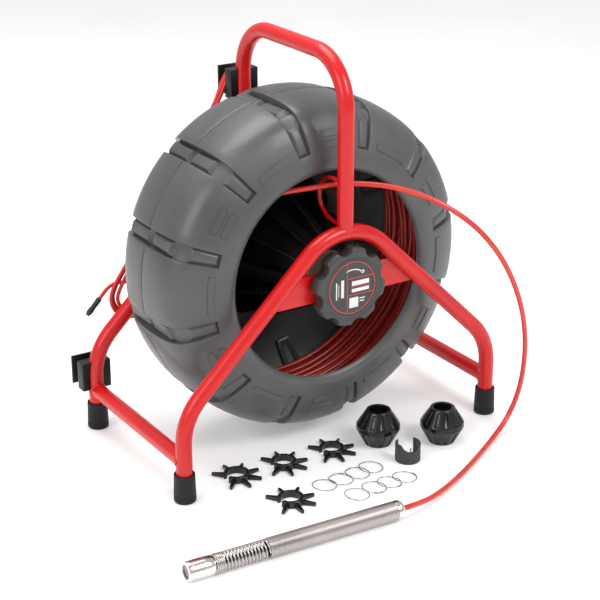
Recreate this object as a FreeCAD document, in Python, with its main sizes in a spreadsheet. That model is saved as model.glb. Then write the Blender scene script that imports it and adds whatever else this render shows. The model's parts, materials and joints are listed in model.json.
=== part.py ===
"""Drain inspection camera on its reel: bent-tube frame, moulded drum, push cable and camera head.

Millimetres, +Z up, the knob side faces -Y. The origin is on the floor under the middle of the frame.
The drum, its axle and the knob share one axis along Y at the height axle_z.
"""
import FreeCAD, Part
import math
import os

import Sketcher
from FreeCAD import Placement, Rotation, Vector

DIMENSIONS = [
    ("tube_dia", 25.4, "frame tube, outside diameter"),
    ("tube_wall", 1.8, "frame tube, wall"),
    ("half_width", 288, "middle of the frame to the leg tubes"),
    ("half_depth", 150, "middle of the frame to the plane of each A-frame"),
    ("knee_z", 135, "corner where a leg turns inwards"),
    ("knee_bend", 100, "bend radius at that corner"),
    ("leg_angle", 44.2, "slope of the legs above the corner"),
    ("apex_bend", 96, "bend radius at the top of the A-frame"),
    ("handle_z", 645, "middle of the carry handle tube"),
    ("handle_bend", 80, "bend radius of the handle"),
    ("rail_z", 67, "middle of the side rails"),
    ("foot_low_rad", 17.5, "rubber foot at the floor"),
    ("foot_top_rad", 16.2, "rubber foot at its rim"),
    ("foot_tall", 46, "rubber foot"),
    ("foot_sole", 8, "rubber under the end of the tube"),
    ("axle_z", 294, "axle above the floor"),
    ("axle_rad", 10, "axle"),
    ("plate_tall", 46, "cross plate"),
    ("plate_near", 141, "cross plate, inner face from the middle"),
    ("plate_far", 146, "cross plate, outer face from the middle"),
    ("drum_rad", 274, "drum at its parting seam"),
    ("drum_wall", 4, "drum wall"),
    ("mouth_rad", 168, "opening at the front of the drum"),
    ("notch_floor", 259, "bottom of the notches between the lobes"),
    ("notch_wide", 28, "width of a notch"),
    ("lobe_count", 12, "lobes round the drum"),
    ("notch_turn", 12.6, "first notch, from +X towards +Z"),
    ("coil_in", 222, "inside of the wound cable"),
    ("coil_out", 253, "outside of the wound cable"),
    ("knob_rad", 63.5, "lock knob"),
    ("knob_back", 150, "knob, back face from the middle"),
    ("knob_face", 172, "knob, front face from the middle"),
    ("scallop_rad", 15, "finger scallop"),
    ("scallop_ring", 69, "circle that the scallops are centred on"),
    ("scallop_turn", 11, "first scallop, from +X towards +Z"),
    ("label_rad", 44.5, "label disc"),
    ("pin_ring", 26, "circle of the brake pins"),
    ("cable_dia", 8.4, "push cable"),
    ("lead_dia", 6.3, "system cable"),
    ("head_rad", 15, "camera head and its springs"),
    ("head_x", -398.5, "front of the camera head"),
    ("head_y", -353.8, "front of the camera head"),
    ("head_turn", -92.55, "turn of the head's own axis about Z"),
    ("housing_long", 40, "camera housing"),
    ("spring_end", 129, "end of the open coils, from the front"),
    ("sleeve_end", 345, "end of the close coils, from the front"),
    ("head_long", 361, "front of the camera to the end of the ferrule"),
    ("wrap_wide", 50, "cable wrap"),
    ("wrap_tall", 48, "cable wrap"),
    ("star_bore", 15.2, "centring guides, bore radius"),
    ("ball_rad", 36, "ball guide"),
    ("ball_tall", 60, "ball guide"),
]

doc = FreeCAD.newDocument("InspectionCamera")
sheet = doc.addObject("Spreadsheet::Sheet", "Dims")
for row, (alias, number, note) in enumerate(DIMENSIONS, 1):
    sheet.set(f"A{row}", note)
    sheet.set(f"B{row}", str(number))
    sheet.setAlias(f"B{row}", alias)
doc.recompute()


class Size:
    """A length or angle with its present value and the expression that binds it to the sheet."""

    def __init__(self, value, text):
        self.value, self.text = float(value), text

    def joined(self, other, sign, value):
        return Size(value, f"({self.text} {sign} {text_of(other)})")

    def __add__(self, other):
        return self.joined(other, "+", self.value + value_of(other))

    def __sub__(self, other):
        return self.joined(other, "-", self.value - value_of(other))

    def __mul__(self, other):
        return self.joined(other, "*", self.value * value_of(other))

    def __truediv__(self, other):
        return self.joined(other, "/", self.value / value_of(other))

    def __neg__(self):
        return Size(-self.value, f"(0 - {self.text})")


def value_of(size):
    return size.value if isinstance(size, Size) else float(size)


def text_of(size):
    return size.text if isinstance(size, Size) else repr(size)


def dim(alias):
    return Size(sheet.get(alias), f"Dims.{alias}")


def bind(thing, prop, size):
    """Set a property, and keep it bound to the sheet when the size comes from there."""
    holder, _, last = prop.rpartition(".")
    if not holder:
        setattr(thing, last, value_of(size))
    if isinstance(size, Size):
        thing.setExpression(prop, size.text)


def place(thing, at, turn=Rotation()):
    """Put a sub-part at a point, with each coordinate bound where it comes from the sheet."""
    thing.Placement = Placement(Vector(*[value_of(c) for c in at]), turn)
    for axis, coordinate in zip("xyz", at):
        bind(thing, f"Placement.Base.{axis}", coordinate)


def named(thing, label):
    thing.Label = label
    return thing


# ---------------------------------------------------------------- sketches and features

ALONG_Y = Rotation(Vector(1, 0, 0), -90)
ALONG_X = Rotation(Vector(0, 1, 0), 90)


def origin_item(body, role):
    return next(item for item in body.Origin.OriginFeatures if item.Role == role)


def new_body(label):
    body = doc.addObject("PartDesign::Body", label)
    return named(body, label)


def new_sketch(body, plane):
    sketch = body.newObject("Sketcher::SketchObject", f"{body.Name}_sketch")
    sketch.AttachmentSupport = [(origin_item(body, plane), "")]
    sketch.MapMode = "FlatFace"
    return sketch


def pin_point(sketch, geometry, end, point):
    """Hold one point of the sketch at its coordinates from the sketch's origin."""
    for kind, coordinate in zip(("DistanceX", "DistanceY"), point):
        rule = Sketcher.Constraint(kind, -1, 1, geometry, end, value_of(coordinate))
        index = sketch.addConstraint(rule)
        if isinstance(coordinate, Size):
            sketch.setExpression(f"Constraints[{index}]", coordinate.text)


def outline(sketch, points):
    """A closed outline of straight lines, every corner fixed by two dimensions."""
    corners = [Vector(value_of(x), value_of(y), 0) for x, y in points]
    first = sketch.GeometryCount
    count = len(corners)
    for i in range(count):
        sketch.addGeometry(Part.LineSegment(corners[i], corners[(i + 1) % count]))
    for i in range(count):
        here, following = first + i, first + (i + 1) % count
        sketch.addConstraint(Sketcher.Constraint("Coincident", here, 2, following, 1))
    for i, point in enumerate(points):
        pin_point(sketch, first + i, 1, point)


def ring(sketch, centre, radius):
    middle = Vector(value_of(centre[0]), value_of(centre[1]), 0)
    index = sketch.addGeometry(Part.Circle(middle, Vector(0, 0, 1), value_of(radius)))
    pin_point(sketch, index, 3, centre)
    rule = sketch.addConstraint(Sketcher.Constraint("Radius", index, value_of(radius)))
    if isinstance(radius, Size):
        sketch.setExpression(f"Constraints[{rule}]", radius.text)


def turned(label, points, plane="XY_Plane"):
    """A body turned about its own Y axis (XY_Plane) or Z axis (XZ_Plane) from (radius, along)."""
    body = new_body(label)
    sketch = new_sketch(body, plane)
    outline(sketch, points)
    revolution = body.newObject("PartDesign::Revolution", f"{label}_turned")
    revolution.Profile = sketch
    revolution.ReferenceAxis = (sketch, ["V_Axis"])
    revolution.Angle = 360
    body.Tip = revolution
    return body


def padded(label, draw, plane, thick):
    """A pad of a sketch drawn on an origin plane."""
    body = new_body(label)
    sketch = new_sketch(body, plane)
    draw(sketch)
    pad = body.newObject("PartDesign::Pad", f"{label}_pad")
    pad.Profile = sketch
    bind(pad, "Length", thick)
    body.Tip = pad
    return body


def feature_round_y(body, kind, draw, plane, thick, count):
    """A pad or pocket drawn on an origin plane, both ways from it, repeated round the Y axis."""
    sketch = new_sketch(body, plane)
    draw(sketch)
    step = body.newObject(f"PartDesign::{kind}", f"{body.Name}_{kind.lower()}")
    step.Profile = sketch
    step.Midplane = True
    bind(step, "Length", thick)
    body.Tip = step
    if value_of(count) > 1:
        pattern = body.newObject("PartDesign::PolarPattern", f"{body.Name}_round")
        pattern.Originals = [step]
        pattern.Axis = (origin_item(body, "Y_Axis"), [""])
        pattern.Angle = 360
        pattern.Occurrences = int(value_of(count))
        body.Tip = pattern
    return body


# ---------------------------------------------------------------- primitives and booleans

def cylinder(label, radius, long, at, turn=Rotation()):
    thing = doc.addObject("Part::Cylinder", label)
    bind(thing, "Radius", radius)
    bind(thing, "Height", long)
    place(thing, at, turn)
    return named(thing, label)


def block(label, sizes, at):
    """A box given by its sizes and the middle of its bottom face."""
    thing = doc.addObject("Part::Box", label)
    for prop, size in zip(("Length", "Width", "Height"), sizes):
        bind(thing, prop, size)
    half = [value_of(size) / 2 for size in sizes[:2]]
    thing.Placement.Base = Vector(value_of(at[0]) - half[0], value_of(at[1]) - half[1], value_of(at[2]))
    for axis, coordinate, size in zip("xy", at, sizes):
        if isinstance(coordinate, Size) or isinstance(size, Size):
            text = f"{text_of(coordinate)} - {text_of(size)} / 2"
            thing.setExpression(f"Placement.Base.{axis}", text)
    bind(thing, "Placement.Base.z", at[2])
    return named(thing, label)


def cut(label, base, tool):
    thing = doc.addObject("Part::Cut", label)
    thing.Base, thing.Tool = base, tool
    return named(thing, label)


def fused(label, pieces):
    thing = doc.addObject("Part::MultiFuse", label)
    thing.Shapes = pieces
    return named(thing, label)


def grouped(label, pieces):
    thing = doc.addObject("Part::Compound", label)
    thing.Links = pieces
    return named(thing, label)


def feature(label, shape):
    thing = doc.addObject("Part::Feature", label)
    thing.Shape = shape
    thing.Placement = Placement()
    return named(thing, label)


# ---------------------------------------------------------------- bent tubes and cords

def bent_path(points, radii=None):
    """Straight runs joined by tangent arcs. Without radii, each arc takes 0.45 of its shorter run."""
    points = [Vector(*point) for point in points]
    edges, used, start = [], [], points[0]
    for i in range(1, len(points) - 1):
        before, corner, after = points[i - 1], points[i], points[i + 1]
        back, ahead = (before - corner), (after - corner)
        shorter = min(back.Length, ahead.Length)
        half_turn = (math.pi - back.getAngle(ahead)) / 2
        radius = radii[i - 1] if radii else 0.45 * shorter / math.tan(half_turn)
        reach = radius * math.tan(half_turn)
        back, ahead = back.normalize(), ahead.normalize()
        first, last = corner + back * reach, corner + ahead * reach
        bisector = (back + ahead).normalize()
        middle = corner + bisector * (radius / math.cos(half_turn) - radius)
        edges += [Part.LineSegment(start, first).toShape(), Part.Arc(first, middle, last).toShape()]
        used.append(radius)
        start = last
    edges.append(Part.LineSegment(start, points[-1]).toShape())
    return Part.Wire(edges), used


def pipe(path, radius):
    start = path.Edges[0]
    heading = start.tangentAt(start.FirstParameter)
    profile = Part.Wire(Part.makeCircle(radius, path.Vertexes[0].Point, heading))
    solid = path.makePipeShell([profile], True, True)
    return solid


def tube_pair(label, points, radii):
    """The outside of a bent tube as one object, and the hollow tube as the named sub-part."""
    path, _ = bent_path(points, radii)
    outside = feature(f"{label}_outside", pipe(path, tube_rad))
    inside = feature(f"{label}_inside", pipe(path, tube_rad - value_of(dim("tube_wall"))))
    return outside, inside


def cord(label, points, diameter):
    """A plain cord solid, its bend radii printed and its volume compared with section times length."""
    path, radii = bent_path(points)
    solid = pipe(path, diameter / 2)
    expected = math.pi * (diameter / 2) ** 2 * path.Length
    print(f"{label}: {path.Length:.0f} mm long, volume {solid.Volume / expected:.4f} of expected,",
          "radii", [round(radius) for radius in radii])
    return feature(label, solid)


# ---------------------------------------------------------------- frame

tube_rad = value_of(dim("tube_dia")) / 2
half_width, half_depth = value_of(dim("half_width")), value_of(dim("half_depth"))
knee_z, handle_z = value_of(dim("knee_z")), value_of(dim("handle_z"))
leg_slope = math.tan(math.radians(value_of(dim("leg_angle"))))
apex_corner_z = knee_z + half_width * leg_slope
axle_z = value_of(dim("axle_z"))
parts = []


def keep(*things):
    parts.extend(things)
    return things[0]


def arch(label, y):
    sole = value_of(dim("foot_sole"))
    knee, apex = value_of(dim("knee_bend")), value_of(dim("apex_bend"))
    points = [(-half_width, y, sole), (-half_width, y, knee_z), (0, y, apex_corner_z),
              (half_width, y, knee_z), (half_width, y, sole)]
    return tube_pair(label, points, [knee, apex, knee])


apex_rise = value_of(dim("apex_bend")) * (1 / math.cos(math.radians(value_of(dim("leg_angle")))) - 1)
apex_z = apex_corner_z - apex_rise
print(f"top of the A-frame: tube middle at z {apex_z:.1f}")

front_outside, front_inside = arch("front_frame_tube", -half_depth)
rear_outside, rear_inside = arch("rear_frame_tube", half_depth)
keep(cut("front_frame_tube", front_outside, front_inside))
keep(cut("rear_frame_tube", rear_outside, rear_inside))

handle_points = [(0, -half_depth, apex_z), (0, -half_depth, handle_z),
                 (0, half_depth, handle_z), (0, half_depth, apex_z)]
handle_outside, handle_inside = tube_pair("handle_tube", handle_points, [value_of(dim("handle_bend"))] * 2)
handle_hollow = cut("handle_hollow", handle_outside, handle_inside)
handle_on_front = cut("handle_on_front", handle_hollow, front_outside)
keep(cut("handle_tube", handle_on_front, rear_outside))

for side, sign in (("left", -1), ("right", 1)):
    start = (dim("half_width") * sign, -dim("half_depth"), dim("rail_z"))
    outer = cylinder(f"{side}_rail_outside", dim("tube_dia") / 2, dim("half_depth") * 2, start, ALONG_Y)
    bore = cylinder(f"{side}_rail_bore", dim("tube_dia") / 2 - dim("tube_wall"),
                    dim("half_depth") * 2, start, ALONG_Y)
    hollow = cut(f"{side}_rail_hollow", outer, bore)
    coped = cut(f"{side}_rail_coped", hollow, front_outside)
    keep(cut(f"{side}_side_rail", coped, rear_outside))

FOOT = [(0, 0), (dim("foot_low_rad"), 0), (dim("foot_top_rad"), dim("foot_tall")),
        (dim("tube_dia") / 2, dim("foot_tall")), (dim("tube_dia") / 2, dim("foot_sole")),
        (0, dim("foot_sole"))]
for depth_name, depth_sign in (("front", -1), ("rear", 1)):
    for side, sign in (("left", -1), ("right", 1)):
        foot = turned(f"{depth_name}_{side}_foot", FOOT, "XZ_Plane")
        place(foot, (dim("half_width") * sign, dim("half_depth") * depth_sign, 0))
        keep(foot)

axle_at = (0, 0, dim("axle_z"))


def cross_plate(label, sign, outside):
    """A flat plate between the legs, bored for the axle and trimmed to the leg tubes."""
    half_tall = value_of(dim("plate_tall")) / 2
    ends = [half_width - (axle_z + z - knee_z) / leg_slope for z in (-half_tall, half_tall)]

    def draw(sketch):
        outline(sketch, [(-ends[0], -dim("plate_tall") / 2), (ends[0], -dim("plate_tall") / 2),
                         (ends[1], dim("plate_tall") / 2), (-ends[1], dim("plate_tall") / 2)])
        ring(sketch, (0, 0), dim("axle_rad"))

    body = padded(f"{label}_blank", draw, "XZ_Plane", dim("plate_far") - dim("plate_near"))
    near = dim("plate_near") if sign < 0 else dim("plate_far")
    place(body, (0, near * sign, dim("axle_z")))
    return cut(label, body, outside)


PIN_RAD, PIN_TURNS = 3, (90, 210, 330)


def pin_places():
    ring_rad = value_of(dim("pin_ring"))
    for turn in PIN_TURNS:
        angle = math.radians(turn)
        yield ring_rad * math.cos(angle), axle_z + ring_rad * math.sin(angle)


front_trimmed = cross_plate("front_plate_undrilled", -1, front_outside)
drills = [cylinder(f"pin_drill_{i}", PIN_RAD + 0.05, 20, (x, -155, z), ALONG_Y)
          for i, (x, z) in enumerate(pin_places(), 1)]
keep(cut("front_cross_plate", front_trimmed, grouped("pin_drills", drills)))
keep(cross_plate("rear_cross_plate", 1, rear_outside))

axle = turned("axle_shaft", [(4, -160), (dim("axle_rad") - 1, -160), (dim("axle_rad"), -159),
                             (dim("axle_rad"), 163), (dim("axle_rad") - 1, 164), (0, 164),
                             (0, -138), (4, -138)])
place(axle, axle_at)
keep(axle)

washer = turned("axle_washer", [(dim("axle_rad"), dim("plate_far")), (19, dim("plate_far")),
                                (19, dim("plate_far") + 3), (dim("axle_rad"), dim("plate_far") + 3)])
place(washer, axle_at)
keep(washer)

hexagon = doc.addObject("Part::Prism", "nut_blank")
hexagon.Polygon = 6
hexagon.Circumradius = 17.3
hexagon.Height = 12
place(hexagon, (0, dim("plate_far") + 3, dim("axle_z")), ALONG_Y)
nut_bore = cylinder("nut_bore", dim("axle_rad"), 14, (0, dim("plate_far") + 2, dim("axle_z")), ALONG_Y)
keep(cut("axle_nut", hexagon, nut_bore))

# The rod loop behind the front post, and the black pad on the post under the cable.
LOOP_ROD = 6.4
loop_points = [(0, -half_depth, 453), (0, -104, 455), (0, -78, 436), (0, -78, 405), (0, -104, 388),
               (0, -half_depth, 384)]
loop_path, _ = bent_path(loop_points)
loop_blank = feature("guide_loop_blank", pipe(loop_path, LOOP_ROD / 2))
keep(cut("guide_loop", loop_blank, handle_outside))

pad_blank = block("guide_pad_blank", (22, 34, 33), (0, -134, 404))
pad_round = cylinder("guide_pad_lip", 4, 22, (-11, -117, 433), ALONG_X)
pad_solid = fused("guide_pad_solid", [pad_blank, pad_round])
keep(cut("guide_pad", pad_solid, handle_outside))


WRAP_BASE, WRAP_FLANGE = 20, 4
WAIST_WIDE, WAIST_TALL, WAIST_DROP = 23, 21, 3


def cable_wrap(label, x, z, outside):
    """A saddle on the back of a frame tube: a base, a waist that holds the cable, and a flange."""
    wide, tall = dim("wrap_wide"), dim("wrap_tall")
    foot_z = z - value_of(tall) / 2
    waist_z = z - WAIST_DROP - WAIST_TALL / 2
    base = block(f"{label}_base", (wide, WRAP_BASE, tall), (x, half_depth + 6, foot_z))
    waist = block(f"{label}_waist", (WAIST_WIDE, WRAP_BASE, WAIST_TALL), (x, half_depth + 26, waist_z))
    flange = block(f"{label}_flange", (wide, WRAP_FLANGE, tall), (x, half_depth + 38, foot_z))
    return cut(label, fused(f"{label}_solid", [base, waist, flange]), outside)


UPPER_WRAP_Z, LOWER_WRAP_Z = 545, 94
keep(cable_wrap("upper_cable_wrap", 0, UPPER_WRAP_Z, handle_outside))
keep(cable_wrap("lower_cable_wrap", -half_width, LOWER_WRAP_Z, rear_outside))

# ---------------------------------------------------------------- drum

SHELL_OUT = [(0, 0), (dim("drum_rad"), 0), (dim("drum_rad") - 1.5, 30), (dim("drum_rad") - 5, 62),
             (dim("drum_rad") - 12, 78), (dim("drum_rad") - 22, 89), (220, 104), (192, 111),
             (180, 113), (172, 111.5), (dim("mouth_rad"), 108.5), (0, 108.5)]
SHELL_IN = [(0, -1), (dim("drum_rad") - dim("drum_wall"), -1), (dim("drum_rad") - dim("drum_wall"), 0),
            (dim("drum_rad") - dim("drum_wall") - 1.5, 29.5), (dim("drum_rad") - dim("drum_wall") - 5, 60),
            (dim("drum_rad") - dim("drum_wall") - 11.5, 75), (dim("drum_rad") - dim("drum_wall") - 21, 85.5),
            (218.5, 100), (191.5, 107), (180.5, 109), (174, 108), (170, 105.5),
            (dim("mouth_rad"), 108.5), (dim("mouth_rad"), 120), (0, 120)]
BACK_RAD = 100
BACK_OUT = SHELL_OUT[:8] + [(180, 112), (0, 112)]
BACK_IN = SHELL_IN[:9] + [(180, 108), (BACK_RAD, 108), (BACK_RAD, 120), (0, 120)]
NOTCH_OUT = [(dim("notch_floor"), -2), (dim("notch_floor"), 72), (251, 82), (218, 98), (204, 102),
             (198, 125), (300, 125), (300, -2)]
NOTCH_IN = [(dim("notch_floor") - dim("drum_wall"), -3), (dim("notch_floor") - dim("drum_wall"), 70),
            (248.5, 78.5), (216.5, 94.2), (200, 98.5), (192, 125), (300, 125), (300, -3)]


def mirrored(points, sign):
    return [(r, y * sign if isinstance(y, (int, float)) else y) for r, y in points]


def drum_half(label, sign, outer_points, inner_points):
    """Half of the moulded drum: the lobed outside less the same shape one wall smaller."""
    solids = []
    for skin, points, notch, wide in (("out", outer_points, NOTCH_OUT, dim("notch_wide")),
                                      ("in", inner_points, NOTCH_IN, dim("notch_wide") + 8)):
        body = turned(f"{label}_{skin}", mirrored(points, sign))
        feature_round_y(body, "Pocket", lambda sketch: outline(sketch, mirrored(notch, sign)),
                        "XY_Plane", wide, dim("lobe_count"))
        place(body, axle_at, Rotation(Vector(0, 1, 0), -value_of(dim("notch_turn"))))
        solids.append(body)
    return cut(label, *solids)


keep(drum_half("drum_front_shell", -1, SHELL_OUT, SHELL_IN))
rear_undrilled = drum_half("rear_shell_undrilled", 1, BACK_OUT, BACK_IN)

HUB_NOSE, HUB_FOOT, HUB_BORE = 42, 105, 21
hub = turned("hub_undrilled", [(HUB_BORE, -95), (HUB_NOSE, -95), (HUB_FOOT, 103), (132, 103), (132, 108),
                          (HUB_BORE, 108), (HUB_BORE, 98), (99, 98), (39, -85), (HUB_BORE, -85)])
feature_round_y(hub, "Pad", lambda sketch: outline(sketch, [(42, -88), (54, -88), (127, 62), (127, 104),
                                                            (104, 104)]), "XY_Plane", 4, 12)
place(hub, axle_at)

for label, y in (("front_bearing", -95), ("rear_bearing", 98)):
    bearing = turned(label, [(dim("axle_rad") + 0.05, y), (HUB_BORE, y), (HUB_BORE, y + 10),
                             (dim("axle_rad") + 0.05, y + 10)])
    place(bearing, axle_at)
    keep(bearing)

BOLT_RING, BOLT_COUNT, BOLT_TURN = 116, 8, 15
SHANK_RAD, HEAD_RAD, HEAD_TALL = 3, 5.5, 4
HUB_FACE, BACK_FACE = 103, 112
bolts = []
for i in range(BOLT_COUNT):
    angle = math.radians(BOLT_TURN + 360 / BOLT_COUNT * i)
    x, z = BOLT_RING * math.cos(angle), axle_z + BOLT_RING * math.sin(angle)
    shank = cylinder(f"bolt_shank_{i}", SHANK_RAD, 16, (x, HUB_FACE - 1, z), ALONG_Y)
    head = cylinder(f"bolt_head_{i}", HEAD_RAD, HEAD_TALL, (x, HUB_FACE - HEAD_TALL, z), ALONG_Y)
    tail = cylinder(f"bolt_tail_{i}", HEAD_RAD, HEAD_TALL, (x, BACK_FACE, z), ALONG_Y)
    bolts.append(fused(f"bolt_{i}", [shank, head, tail]))
hub_bolts = keep(grouped("hub_bolts", bolts))
keep(cut("hub_core", hub, hub_bolts))
keep(cut("drum_rear_shell", rear_undrilled, hub_bolts))

rotor = turned("slip_ring_rotor", [(dim("axle_rad") + 0.4, 108), (30, 108), (30, 117),
                                   (27, 118), (dim("axle_rad") + 0.4, 118)])
place(rotor, axle_at)
keep(rotor)
stator = turned("slip_ring_housing", [(dim("axle_rad"), 118.4), (33, 118.4), (36, 121), (36, 138),
                                      (44, 138), (44, 141), (dim("axle_rad"), 141)])
place(stator, axle_at)
keep(stator)
GLAND_Y, GLAND_LONG = 129, 28
gland_blank = doc.addObject("Part::Cone", "gland_blank")
gland_blank.Radius1 = 7
gland_blank.Radius2 = 4
gland_blank.Height = GLAND_LONG
place(gland_blank, (-30, GLAND_Y, axle_z), Rotation(Vector(0, 1, 0), -90))
keep(cut("system_cable_gland", gland_blank, stator))

JUNCTION_X, JUNCTION_Z, JUNCTION_DEEP = -131, axle_z - 85, 34
JUNCTION_SHAPE = [(-34, -14), (-28, -20), (28, -20), (34, -14), (34, 14), (28, 20), (-28, 20), (-34, 14)]
junction = padded("cable_junction_box", lambda sketch: outline(sketch, JUNCTION_SHAPE),
                  "XZ_Plane", JUNCTION_DEEP)
place(junction, (JUNCTION_X, 108, JUNCTION_Z), Rotation(Vector(0, 1, 0), 57))
keep(junction)
keep(cylinder("junction_connector", 9, 26, (JUNCTION_X, 48, JUNCTION_Z), ALONG_Y))

coil = turned("stored_cable", [(dim("coil_in"), -78), (dim("coil_out") - 7, -78), (dim("coil_out"), -70),
                               (dim("coil_out"), 70), (dim("coil_out") - 7, 78), (dim("coil_in"), 78)])
place(coil, axle_at)
keep(coil)

# ---------------------------------------------------------------- knob and brake

knob = turned("lock_knob", [(dim("axle_rad") + 0.05, -dim("knob_back")),
                            (dim("knob_rad") - 2, -dim("knob_back")),
                            (dim("knob_rad"), -dim("knob_back") - 2),
                            (dim("knob_rad"), -dim("knob_face") + 4),
                            (dim("knob_rad") - 4, -dim("knob_face")),
                            (dim("label_rad") + 0.3, -dim("knob_face")),
                            (dim("label_rad") + 0.3, -dim("knob_face") + 1), (16, -dim("knob_face") + 1),
                            (16, -159), (dim("axle_rad") + 0.05, -159)])
feature_round_y(knob, "Pocket", lambda sketch: ring(sketch, (dim("scallop_ring"), 0), dim("scallop_rad")),
                "XZ_Plane", 400, 8)
place(knob, axle_at, Rotation(Vector(0, 1, 0), -value_of(dim("scallop_turn"))))
keep(knob)
keep(cylinder("knob_label", dim("label_rad"), 1, (0, -dim("knob_face"), dim("axle_z")), ALONG_Y))

screw = turned("knob_screw", [(0, -166.6), (12, -166.6), (14, -165), (14, -160), (4, -160),
                              (4, -140), (0, -140)])
place(screw, axle_at)
keep(screw)

RING_FRONT, RING_BACK, PIN_FRONT = -103.3, -98.3, -149.7
brake_ring = turned("brake_ring", [(dim("axle_rad") + 0.06, RING_FRONT), (36, RING_FRONT),
                                   (38, RING_FRONT + 2), (38, RING_BACK),
                                   (dim("axle_rad") + 0.06, RING_BACK)])
place(brake_ring, axle_at)
keep(brake_ring)
keep(grouped("brake_pins", [cylinder(f"brake_pin_{i}", PIN_RAD, RING_FRONT - PIN_FRONT,
                                     (x, PIN_FRONT, z), ALONG_Y)
                            for i, (x, z) in enumerate(pin_places(), 1)]))

# ---------------------------------------------------------------- camera head

head_turn = Rotation(Vector(0, 0, 1), value_of(dim("head_turn")))
head_at = (dim("head_x"), dim("head_y"), dim("head_rad"))


def head_piece(label, points):
    body = turned(label, points)
    place(body, head_at, head_turn)
    return keep(body)


long, rad = dim("housing_long"), dim("head_rad")
head_piece("camera_body", [(10.5, 0), (rad - 1, 0), (rad, 1), (rad, long), (11.6, long),
                           (11.6, long + 15), (4.5, long + 15), (4.5, long - 3), (12, long - 3),
                           (12, 2), (10.5, 2)])
head_piece("camera_window", [(0, 2), (11.95, 2), (11.95, 4.5), (0, 4.5)])
head_piece("light_ring", [(7, 4.6), (11.9, 4.6), (11.9, 6.6), (7, 6.6)])
head_piece("levelling_core", [(0, 5), (4, 5), (4, 9), (10, 9), (10, 36), (4.45, 36),
                              (4.45, long + 3), (0, long + 3)])
head_piece("spring_cord", [(0, long + 3.4), (4, long + 3.4), (4, dim("spring_end") + 6),
                           (0, dim("spring_end") + 6)])
head_piece("transmitter_sleeve", [(11, dim("spring_end")), (rad, dim("spring_end")),
                                  (rad, dim("sleeve_end")), (11, dim("sleeve_end"))])
head_piece("transmitter", [(0, dim("spring_end") + 6), (8, dim("spring_end") + 6),
                           (10.5, dim("spring_end") + 9), (10.5, dim("spring_end") + 100),
                           (8, dim("spring_end") + 103), (0, dim("spring_end") + 103)])
head_piece("cable_ferrule", [(0, dim("sleeve_end")), (rad, dim("sleeve_end")),
                             (rad, dim("sleeve_end") + 8), (rad - 2, dim("sleeve_end") + 13),
                             (6, dim("head_long")), (0, dim("head_long"))])

SPRING_WIRE, SPRING_TURNS, SPRING_OUT, SPRING_PLAY = 1.5, 14, 14.9, 0.1
spring_start = value_of(long) + SPRING_WIRE + SPRING_PLAY
spring_long = value_of(dim("spring_end")) - SPRING_WIRE - SPRING_PLAY - spring_start
coil_rad = SPRING_OUT - SPRING_WIRE
helix = Part.makeHelix(spring_long / SPRING_TURNS, spring_long, coil_rad)
wire_ring = Part.Wire(Part.makeCircle(SPRING_WIRE, Vector(coil_rad, 0, 0), Vector(0, 1, 0)))
spring = feature("camera_spring", Part.Wire(helix).makePipeShell([wire_ring], True, True))
head_place = Placement(Vector(*[value_of(c) for c in head_at]), head_turn)
spring.Placement = head_place * Placement(Vector(0, spring_start, 0), ALONG_Y)
keep(spring)

# ---------------------------------------------------------------- cords

PUSH_CABLE_ROUTE = [
    (-213, -10, 331), (-193, -22, 372), (-160, -38, 402), (-121, -58, 422), (-82, -80, 434),
    (-42, -99, 440), (0, -113, 443), (43, -134, 444), (88, -168, 438), (136, -204, 418),
    (182, -232, 382), (222, -247, 333), (254, -251, 277), (280, -246, 218), (298, -236, 158),
    (305, -226, 98), (299, -220, 50), (272, -226, 16), (226, -249, 5), (171, -283, 5),
    (112, -317, 5), (56, -344, 6), (6, -364, 10), (-40, -370, 15)]
keep(cord("push_cable", PUSH_CABLE_ROUTE, value_of(dim("cable_dia"))))

HANK_DEEP = 13.2
HANK_Y = 176 - HANK_DEEP / 2
HANK_TOP, HANK_LOW = Vector(0, HANK_Y, UPPER_WRAP_Z - WAIST_DROP), Vector(-206, HANK_Y, 207)


def teardrop(top_rad, low_rad):
    """A loop with straight sides that touch a small circle at the top and a larger one below."""
    along = (HANK_LOW - HANK_TOP).normalize()
    aside = Vector(along.z, 0, -along.x)
    lean = math.asin((low_rad - top_rad) / (HANK_LOW - HANK_TOP).Length)
    left = aside * math.cos(lean) - along * math.sin(lean)
    right = -aside * math.cos(lean) - along * math.sin(lean)
    corners = [HANK_TOP + left * top_rad, HANK_LOW + left * low_rad,
               HANK_LOW + right * low_rad, HANK_TOP + right * top_rad]
    low_end, top_end = HANK_LOW + along * low_rad, HANK_TOP - along * top_rad
    return Part.Wire([Part.LineSegment(corners[0], corners[1]).toShape(),
                      Part.Arc(corners[1], low_end, corners[2]).toShape(),
                      Part.LineSegment(corners[2], corners[3]).toShape(),
                      Part.Arc(corners[3], top_end, corners[0]).toShape()])


hank_face = Part.Face(teardrop(28.5, 42)).cut(Part.Face(teardrop(16.2, 22)))
keep(feature("system_cable_hank", hank_face.extrude(Vector(0, HANK_DEEP, 0)).Solids[0]))

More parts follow.
